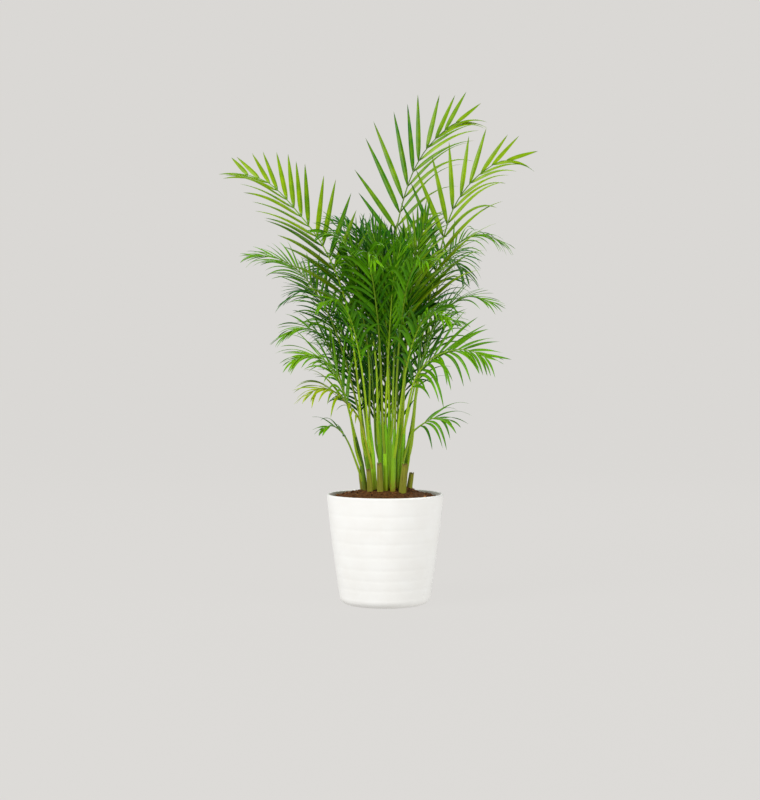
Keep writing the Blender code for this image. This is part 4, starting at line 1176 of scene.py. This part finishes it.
@dataclass
class OldLeafBases:
    """The cut stubs of old leaves: flattened, hollow at the top, with a torn rim."""

    sides: int = 18
    rings: int = 12
    wall: float = 0.30
    hollow: float = 0.16
    tear: float = 0.0035
    thickness: float = 0.70
    ridge: float = 0.03
    taper: tuple = (0.95, 1.10, 1.0, 0.86)
    seed: int = 8

    def build(self) -> list:
        """Bends and tears the stubs.

        Returns:
            The pieces with the names of the nodes they stand for.
        """
        chance = random.Random(self.seed)
        mould = TubeMould("stub_mould", self.sides, self.rings).build()
        bpy.ops.object.mode_set(mode="EDIT")
        bpy.ops.mesh.select_mode(type="FACE")
        select_corners(mould, lambda place: place.z > 0.999)
        bpy.ops.mesh.select_mode(type="FACE")
        bpy.ops.mesh.inset(thickness=self.wall)
        bpy.ops.mesh.extrude_region_move(TRANSFORM_OT_translate={"value": (0.0, 0.0, -self.hollow)})
        bpy.ops.object.mode_set(mode="OBJECT")
        TubeMould.wrap(mould)
        shape = corner_places(mould)
        skin = OldSheath().make()
        pieces = []
        for plan in STUBS:
            foot = np.array((*plan.foot, soil_height(*plan.foot)))
            top = foot + np.array((*plan.lean, plan.height))
            line = smooth_route(np.array((foot - UP * POCKET_DEPTH, foot, foot + (top - foot) * 0.55, top)))
            shares = np.linspace(0.0, 1.0, len(line))
            radii = plan.radius * np.interp(shares, (0.0, 0.33, 0.7, 1.0), self.taper)
            places = Spine(line, radii).bend(shape, self.thickness)
            turn = np.arctan2(shape[:, 1], shape[:, 0])
            phase = chance.uniform(0.0, 6.0)
            ragged = np.sin(turn * 3.0 + phase) * 0.5 + np.sin(turn * 8.0 + phase * 2.0) * 0.35
            places[:, 2] += np.where(shape[:, 2] > 0.98, (ragged - 0.5) * self.tear, 0.0)
            outer = np.hypot(shape[:, 0], shape[:, 1]) > 0.9
            ridge = 1.0 + self.ridge * np.sin(turn * 7.0 + phase) * outer
            middle = Spine(line, radii).bend(shape * np.array((0.0, 0.0, 1.0)))
            places = middle + (places - middle) * np.column_stack((ridge, ridge, np.ones(len(ridge))))
            stub = copy_mould(mould, plan.name + "_husk", places)
            TubeMould.tint_along(stub, chance.random(), 0.0)
            stub.data.materials.append(skin)
            pieces.append((stub, plan.name))
        bpy.data.objects.remove(mould)
        return pieces


# ---------------------------------------------------------------- fronds


def stalk_start(plan: FrondPlan) -> tuple[np.ndarray, np.ndarray]:
    """Finds where a stalk leaves its cane: the straightest on top, each other beside it and lower down.

    Args:
        plan: The frond.

    Returns:
        The start of the midrib, and a point inside the cane below it from which the stalk's sheath grows.
    """
    cane = next(cane for cane in CANES if cane.name == plan.cane)
    line = cane_line(cane)
    top = line[-1]
    lean = unit(top - line[-2])
    tilts = {mate.name: math.acos(min(1.0, float(unit(mate.points()[0] - top) @ lean)))
             for mate in FRONDS if mate.cane == plan.cane}
    rank = sorted(tilts, key=tilts.get).index(plan.name)
    if rank == 0:
        return top + lean * (FORK_GAP + STALK_CORNER * math.sin(tilts[plan.name])), top - lean * 0.012
    height = cane.top[2] - FORK_STEP * rank
    centre = along_line(height, line[:, 2], line)
    radius = cane.radius * float(np.interp(height, line[:, 2], CANE_TAPER))
    outward = unit((plan.points()[0] - centre) * (1.0, 1.0, 0.0))
    inside = along_line(height - 0.030, line[:, 2], line)
    return centre + outward * (radius + STALK_CORNER + FORK_GAP), inside + outward * radius * 0.5


@dataclass
class Midrib:
    """The route of a frond's midrib, by share of its length, with its side and upper directions."""

    plan: FrondPlan
    points: np.ndarray = field(init=False)
    shares: np.ndarray = field(init=False)
    length: float = field(init=False)
    root: np.ndarray = field(init=False)

    def __post_init__(self) -> None:
        """Samples the route from its start on the cane to its last point."""
        start, self.root = stalk_start(self.plan)
        route = self.plan.points()
        self.points = smooth_route(np.vstack((start, route)))
        reach = distances(self.points)
        self.length = float(reach[-1])
        self.shares = reach / self.length
        self.face = unit(np.array(self.plan.face))
        self.outward = unit((route[-1] - route[0]) * (1.0, 1.0, 0.0))

    def at(self, share: float) -> np.ndarray:
        """Gives the point at a share of the length."""
        return along_line(share, self.shares, self.points)

    def place(self, share: float) -> tuple:
        """Works out the midrib's directions at a share of its length.

        Args:
            share: The share, from zero to one.

        Returns:
            The point there, and the directions along, to the left and up off the blade.
        """
        step = 0.010 / self.length
        along = unit(self.at(min(share + step, 1.0)) - self.at(max(share - step, 0.0)))
        stalk_share = max(0.0, 1.0 - share / self.plan.bare)
        facing = self.face - self.outward * (BLADE_LEAN + STALK_LEAN * stalk_share)
        upper = unit(facing - along * float(along @ facing))
        return self.at(share), along, np.cross(upper, along), upper

    def radius(self, share: float) -> float:
        """Radius of the stalk: thick at the petiole, thin at the tip."""
        return RACHIS_TIP_RADIUS + (PETIOLE_RADIUS - RACHIS_TIP_RADIUS) * (1.0 - min(share, 1.0)) ** 0.8

    def spine(self) -> Spine:
        """Gives the stalk's own line, which starts in the sheath inside its cane."""
        stops = np.linspace(0.0, 1.0, 60)
        line = smooth_route(np.vstack((self.root, (self.root + self.at(0.0)) / 2.0, self.at(0.02))), 0.006)
        points = np.vstack((line[:-1], [self.at(stop) for stop in stops[2:]]))
        radii = [self.radius(0.0) * (1.35 - 0.35 * index / len(line)) for index in range(len(line) - 1)]
        radii += [self.radius(stop) for stop in stops[2:]]
        return Spine(points, np.array(radii))


@dataclass
class LeafletMould:
    """One leaflet blade modelled flat: a long thin grid with a lower skin drawn to the same margins."""

    stations: int = 10

    def build(self) -> bpy.types.Object:
        """Models the blade.

        Returns:
            The mould: X runs from zero at its foot to one at its tip, Y across from -1 to 1, and the lower
            skin's middle lies at Z -1.
        """
        clear_selection()
        bpy.ops.mesh.primitive_grid_add(x_subdivisions=self.stations, y_subdivisions=2, size=2.0)
        mould = bpy.context.object
        mould.name = "leaflet_mould"
        bpy.ops.object.mode_set(mode="EDIT")
        bpy.ops.mesh.select_all(action="SELECT")
        bpy.ops.transform.translate(value=(1.0, 0.0, 0.0))
        bpy.ops.transform.resize(value=(0.5, 1.0, 1.0), center_override=(0.0, 0.0, 0.0))
        bpy.ops.mesh.extrude_region_move(TRANSFORM_OT_translate={"value": (0.0, 0.0, -1.0)})
        select_corners(mould, lambda place: place.z < -0.5
                       and (abs(place.y) > 0.5 or not 0.01 < place.x < 0.99))
        bpy.ops.transform.translate(value=(0.0, 0.0, 1.0))
        bpy.ops.mesh.select_all(action="SELECT")
        bpy.ops.mesh.remove_doubles(threshold=0.0001)
        select_corners(mould, lambda place: place.x > 0.99)
        bpy.ops.mesh.merge(type="CENTER")
        bpy.ops.mesh.select_all(action="SELECT")
        bpy.ops.mesh.normals_make_consistent(inside=False)
        bpy.ops.object.mode_set(mode="OBJECT")
        bpy.ops.object.shade_smooth()
        # the fold along the middle and both margins stay crisp
        places = corner_places(mould)
        sharp = mould.data.attributes.new("sharp_edge", "BOOLEAN", "EDGE")
        ends = np.array([tuple(edge.vertices) for edge in mould.data.edges])
        sharp.data.foreach_set("value", np.abs(places[ends[:, 0], 1] - places[ends[:, 1], 1]) < 0.1)
        return mould

    @staticmethod
    def underside(mould: bpy.types.Object) -> np.ndarray:
        """Tells the underside's face corners.

        Args:
            mould: The mould.

        Returns:
            One for each face corner of the lower skin, zero for the others.
        """
        places = corner_places(mould)
        marks = np.zeros(len(mould.data.loops))
        for face in mould.data.polygons:
            if places[list(face.vertices), 2].min() < -0.5:
                marks[list(face.loop_indices)] = 1.0
        return marks


@dataclass(frozen=True)
class Whim:
    """How one leaflet strays from its neighbours: angles in degrees, the rest as shares."""

    swing: float
    tilt: float
    length: float
    weight: float
    twist: float


@dataclass
class Foliage:
    """All the fronds: each has a stalk bent from one tube and leaflets bent from one blade."""

    stalk_sides: int = 8
    stalk_rings: int = 40
    steps: int = 36
    thickness: float = 0.0006
    fold: float = 0.24
    strays: tuple = ((0.0, 2.5), (0.0, 5.0), (1.0, 0.05), (1.0, 0.20), (0.0, 12.0))
    gap_checks: tuple = ((0, 0, 1.0), (8, 0, 1.0), (-8, 0, 1.0), (0, 6, 1.0), (0, -6, 1.0), (15, 4, 1.0),
                         (-15, -4, 1.0), (0, 0, 0.86), (10, 5, 0.86), (-10, -5, 0.86), (24, 0, 0.78),
                         (-22, 0, 0.78))
    seed: int = 21

    def prepare(self) -> None:
        """Models the two moulds and reads what every copy needs from them."""
        self.chance = random.Random(self.seed)
        self.stalk_mould = TubeMould("stalk_mould", self.stalk_sides, self.stalk_rings).build()
        self.stalk_shape = corner_places(self.stalk_mould)
        self.blade_mould = LeafletMould().build()
        self.blade_shape = corner_places(self.blade_mould)
        self.blade_under = LeafletMould.underside(self.blade_mould)
        rows = self.blade_shape[:, 0]
        # contact is tested past the foot, which sits in the stalk
        self.blade_faces = [tuple(face.vertices) for face in self.blade_mould.data.polygons
                            if rows[list(face.vertices)].min() > 0.09]
        self.stalk_faces = [tuple(face.vertices) for face in self.stalk_mould.data.polygons]
        self.lows = np.zeros((0, 3))
        self.highs = np.zeros((0, 3))
        self.trees: list = []
        self.owners: list = []

    @staticmethod
    def leaflet_scale(share: float) -> float:
        """Length of a leaflet against the longest: shorter at the frond's start, shortest at its tip."""
        if share < 0.2:
            return 0.74 + 1.3 * share
        return 1.0 - LENGTH_LOSS * ((share - 0.2) / 0.8) ** 1.5

    @staticmethod
    def leveling(plan: FrondPlan, side: int) -> float:
        """How far, in degrees, a drooping leaflet turns its upper face to the sky by its tip."""
        weight = plan.droop[0 if side > 0 else 1]
        return min(65.0, 150.0 * weight) if plan.green is Green.BRIGHT else min(50.0, 80.0 * weight)

    def blade(self, midrib: Midrib, share: float, side: int, whim: Whim) -> np.ndarray:
        """Bends one leaflet that leaves the midrib and droops under its own weight.

        Args:
            midrib: The frond's midrib.
            share: The share of the leafy part at which it grows.
            side: One on the left and minus one on the right.
            whim: How it strays.

        Returns:
            The places of the blade's corners.
        """
        plan = midrib.plan
        last = 1.0 - 0.006 / midrib.length
        stop = plan.bare + (last - plan.bare) * share**0.95
        point, along, left, upper = midrib.place(stop)
        outward = left * side
        widest = plan.spread[0] if side > 0 else plan.spread[1]
        angle = math.radians(widest * (1.0 - ANGLE_CLOSING * share) + whim.swing)
        rise = math.radians(plan.rise + whim.tilt)
        sideways = outward * math.cos(rise) + upper * math.sin(rise)
        heading = along * math.cos(angle) + sideways * math.sin(angle)
        scale = self.leaflet_scale(share)
        length = plan.leaflet * scale * whim.length
        breadth = plan.width * (0.62 + 0.38 * scale)
        weight = plan.droop[0 if side > 0 else 1] * whim.weight
        t = np.linspace(0.0, 1.0, self.steps + 1)
        bends = unit(heading - UP * weight * LEAFLET_SAG * (t[1:, None] - 0.5 / self.steps) ** 1.5)
        line = point + outward * midrib.radius(stop) * 0.4 + np.vstack((np.zeros(3), np.cumsum(bends, axis=0)
                                                                        * length / self.steps))
        directions = unit(np.gradient(line, axis=0))
        rims = unit(along - directions * (directions @ along)[:, None])
        ridges = np.cross(rims, directions) * side
        turn = np.radians(whim.twist) * t[:, None]
        cosine, sine = np.cos(turn), np.sin(turn)
        rims, ridges = rims * cosine + ridges * sine, ridges * cosine - rims * sine
        profile = (1.0 - t**1.9) ** 0.80 * (0.16 + 0.84 * (1.0 - np.exp(-t / 0.13)))
        half = 0.5 * breadth * profile
        station = self.blade_shape[:, 0]
        rows = [along_line(station, t, part) for part in (line, rims, ridges)]
        across = self.blade_shape[:, 1] * -side
        width = np.interp(station, t, half)
        ridge_lift = np.where(np.abs(across) < 0.5, self.thickness * (0.5 + self.blade_shape[:, 2]), 0.0)
        fold = self.fold * (1.5 - station) * np.abs(across) * width
        return rows[0] + rows[1] * (across * width)[:, None] + rows[2] * (ridge_lift - fold)[:, None]

    def touches(self, places: np.ndarray, faces: list, owner: str) -> tuple:
        """Counts what a shape touches among all that is already placed.

        Args:
            places: The shape's corners.
            faces: Its faces.
            owner: The shape's frond, whose own stalk doesn't count.

        Returns:
            How many placed shapes it touches, and its contact tree.
        """
        tree = BVHTree.FromPolygons(places.tolist(), faces)
        near = np.nonzero(np.all(self.lows < places.max(axis=0), axis=1)
                          & np.all(self.highs > places.min(axis=0), axis=1))[0]
        count = sum(1 for index in near if self.owners[index] != owner and tree.overlap(self.trees[index]))
        return count, tree

    def remember(self, places: np.ndarray, tree: BVHTree, owner: str) -> None:
        """Keeps a placed shape for later contact tests."""
        self.lows = np.vstack((self.lows, places.min(axis=0)))
        self.highs = np.vstack((self.highs, places.max(axis=0)))
        self.trees.append(tree)
        self.owners.append(owner)

    def fit(self, midrib: Midrib, share: float, side: int, whim: Whim) -> np.ndarray:
        """Finds the variant of a leaflet that touches the least.

        Args:
            midrib: The frond's midrib.
            share: The share of the leafy part at which it grows.
            side: One on the left and minus one on the right.
            whim: How it strays.

        Returns:
            The places of its corners.
        """
        best = None
        for tilt, swing, shrink in self.gap_checks:
            tried = Whim(whim.swing + swing, whim.tilt + tilt, whim.length * shrink, whim.weight, whim.twist)
            places = self.blade(midrib, share, side, tried)
            count, tree = self.touches(places, self.blade_faces, midrib.plan.name)
            if best is None or count < best[0]:
                best = (count, places, tree)
            if count == 0:
                break
        self.clashes += best[0] > 0
        self.remember(best[1], best[2], "leaflet")
        return best[1]

    def build(self) -> list:
        """Grows every frond.

        Returns:
            The pieces with the plans they were grown from.
        """
        self.prepare()
        self.clashes = 0
        midribs = {plan.name: Midrib(plan) for plan in FRONDS}
        stalks = {}
        for name, midrib in midribs.items():
            stalks[name] = midrib.spine().bend(self.stalk_shape)
            self.remember(stalks[name], BVHTree.FromPolygons(stalks[name].tolist(), self.stalk_faces), name)
        blades = {green: BLADES[green].make(green) for green in Green}
        skins = {green: STALKS[green].make(green) for green in Green}
        pieces = []
        for plan in FRONDS:
            piece = self.grow(plan, midribs[plan.name], stalks[plan.name], blades[plan.green],
                              skins[plan.green])
            pieces.append((piece, plan))
        log.info("%d leaflets, %d of them touch something", len(self.trees) - len(FRONDS), self.clashes)
        bpy.data.objects.remove(self.stalk_mould)
        bpy.data.objects.remove(self.blade_mould)
        return pieces

    def grow(self, plan: FrondPlan, midrib: Midrib, stalk: np.ndarray, blade: bpy.types.Material,
             skin: bpy.types.Material) -> bpy.types.Object:
        """Grows one frond.

        Args:
            plan: The frond's plan.
            midrib: Its midrib.
            stalk: The places of its stalk's corners.
            blade: The finish of its leaflets.
            skin: The finish of its stalk.

        Returns:
            The frond as one piece.
        """
        stem = copy_mould(self.stalk_mould, plan.name + "_leaf", stalk)
        stem.data.materials.append(skin)
        TubeMould.tint_along(stem, self.chance.random(), 0.0)
        parts = [stem]
        wild = WILDNESS[plan.green]
        for index in range(plan.pairs):
            for side in (1, -1):
                stray = self.chance.uniform(-0.14, 0.14) * wild
                share = min(1.0, max(0.0, (index + stray) / (plan.pairs - 1.0)))
                swing, tilt, length, weight, twist = (self.chance.gauss(mean, spread * wild)
                                                      for mean, spread in self.strays)
                whim = Whim(swing, tilt, length, weight, twist - self.leveling(plan, side))
                places = self.fit(midrib, share, side, whim)
                leaflet = copy_mould(self.blade_mould, f"{plan.name}_{index}_{side}", places)
                leaflet.data.materials.append(blade)
                # painted light and shade: leaflets far out from the clump's middle get a lighter tone and
                # those deep in it a darker one, standing in for the shade of the leaves around them
                sunlit = min(1.0, float(np.hypot(*places[:, :2].mean(axis=0))) / SUNLIT_REACH)
                tone = min(1.0, max(0.0, self.chance.gauss(0.10 + 0.78 * sunlit, 0.20)))
                dryness = max(0.0, self.chance.gauss(-0.45, 0.6))
                rows = np.tile((tone, min(1.0, dryness), 0.0, 1.0), (len(self.blade_under), 1))
                rows[:, 2] = self.blade_under
                tint_piece(leaflet, rows)
                parts.append(leaflet)
        return join_parts(parts, plan.name + "_leaf")


# ---------------------------------------------------------------- studio


@dataclass
class Studio:
    """A pale seamless floor, soft light from the upper left front, and the camera."""

    paper: str = "dad8d5"
    distance: float = 3.3
    eye_height: float = 0.5395
    eye_side: float = -0.0116
    pitch: float = 1.17
    lens: float = 63.9
    sky: float = 0.24
    bounce: float = 0.90
    seen_glow: float = 1.0235
    evenness: float = 0.97

    def build(self) -> None:
        """Sets up the floor, the lights, the world and the camera."""
        self.lay_floor()
        self.hang_light("key", (-2.7, -2.2, 2.6), 2.2, 158.0)
        self.hang_light("fill", (2.9, -2.0, 1.6), 2.4, 84.0)
        self.hang_light("back", (0.6, 2.8, 2.6), 2.4, 36.0)
        self.light_room()
        self.place_camera()
        bpy.context.scene.view_settings.view_transform = "Standard"

    def lay_floor(self) -> None:
        """Lays plain paper whose even glow leaves only a faint shadow under the pot."""
        clear_selection()
        bpy.ops.mesh.primitive_plane_add(size=80.0, location=(0.0, 0.0, -0.0005))
        floor = bpy.context.object
        floor.name = "studio_floor"
        material, add = new_material("backdrop_paper")
        matt = add("BsdfDiffuse", {0: linear(self.paper)})
        glow = add("MapRange", {0: add("LightPath", {}), 3: self.bounce, 4: self.seen_glow})
        even = add("Emission", {0: linear(self.paper), 1: glow})
        add("OutputMaterial", {0: add("MixShader", {0: self.evenness, 1: matt, 2: even})})
        floor.data.materials.append(material)

    def hang_light(self, name: str, spot: tuple, size: float, power: float) -> None:
        """Hangs a square soft light that faces the plant.

        Args:
            name: The light's name.
            spot: Where it hangs.
            size: Its side.
            power: Its power in watts.
        """
        lamp = bpy.data.lights.new(name, "AREA")
        lamp.size = size
        lamp.energy = power
        holder = bpy.data.objects.new(name, lamp)
        holder.location = spot
        aim = Vector((0.0, 0.0, 0.6)) - Vector(spot)
        holder.rotation_euler = aim.to_track_quat("-Z", "Y").to_euler()
        bpy.context.scene.collection.objects.link(holder)

    def light_room(self) -> None:
        """Fills the room with white light and lets the camera see the paper's own tone."""
        world = bpy.data.worlds.new("pale_room")
        world.use_nodes = True
        world.node_tree.nodes.clear()
        add = partial(add_node, world.node_tree)
        room = add("Background", {0: (1.0, 1.0, 1.0, 1.0), 1: self.sky})
        wall = add("Background", {0: linear(self.paper), 1: 1.0})
        add("OutputWorld", {0: add("MixShader", {0: add("LightPath", {}), 1: room, 2: wall})})
        bpy.context.scene.world = world

    def place_camera(self) -> None:
        """Puts the camera at eye level in front of the plant."""
        lens = bpy.data.cameras.new("camera")
        lens.lens = self.lens
        lens.sensor_width = 36.0
        lens.clip_end = 200.0
        camera = bpy.data.objects.new("camera", lens)
        camera.location = (self.eye_side, -self.distance, self.eye_height)
        camera.rotation_euler = (math.radians(90.0 - self.pitch), 0.0, 0.0)
        bpy.context.scene.collection.objects.link(camera)
        bpy.context.scene.camera = camera


def main() -> None:
    """Builds every sub-assembly in order and reports each piece."""
    logging.basicConfig(level=logging.INFO, format="%(message)s")
    pot = CoverPot()
    hand_over(pot.build(), ("pot",))
    soil = SoilBed(pot)
    hand_over(soil.build(), ("soil",))
    hand_over(soil.build_crumbs(), ())
    hand_over(soil.build_strands(), ())
    for cane, node in Canes().build():
        hand_over(cane, (node,))
    for stub, node in OldLeafBases().build():
        hand_over(stub, (node,))
    for piece, plan in Foliage().build():
        hand_over(piece, (plan.name,))
    Studio().build()


if __name__ == "__main__":
    main()
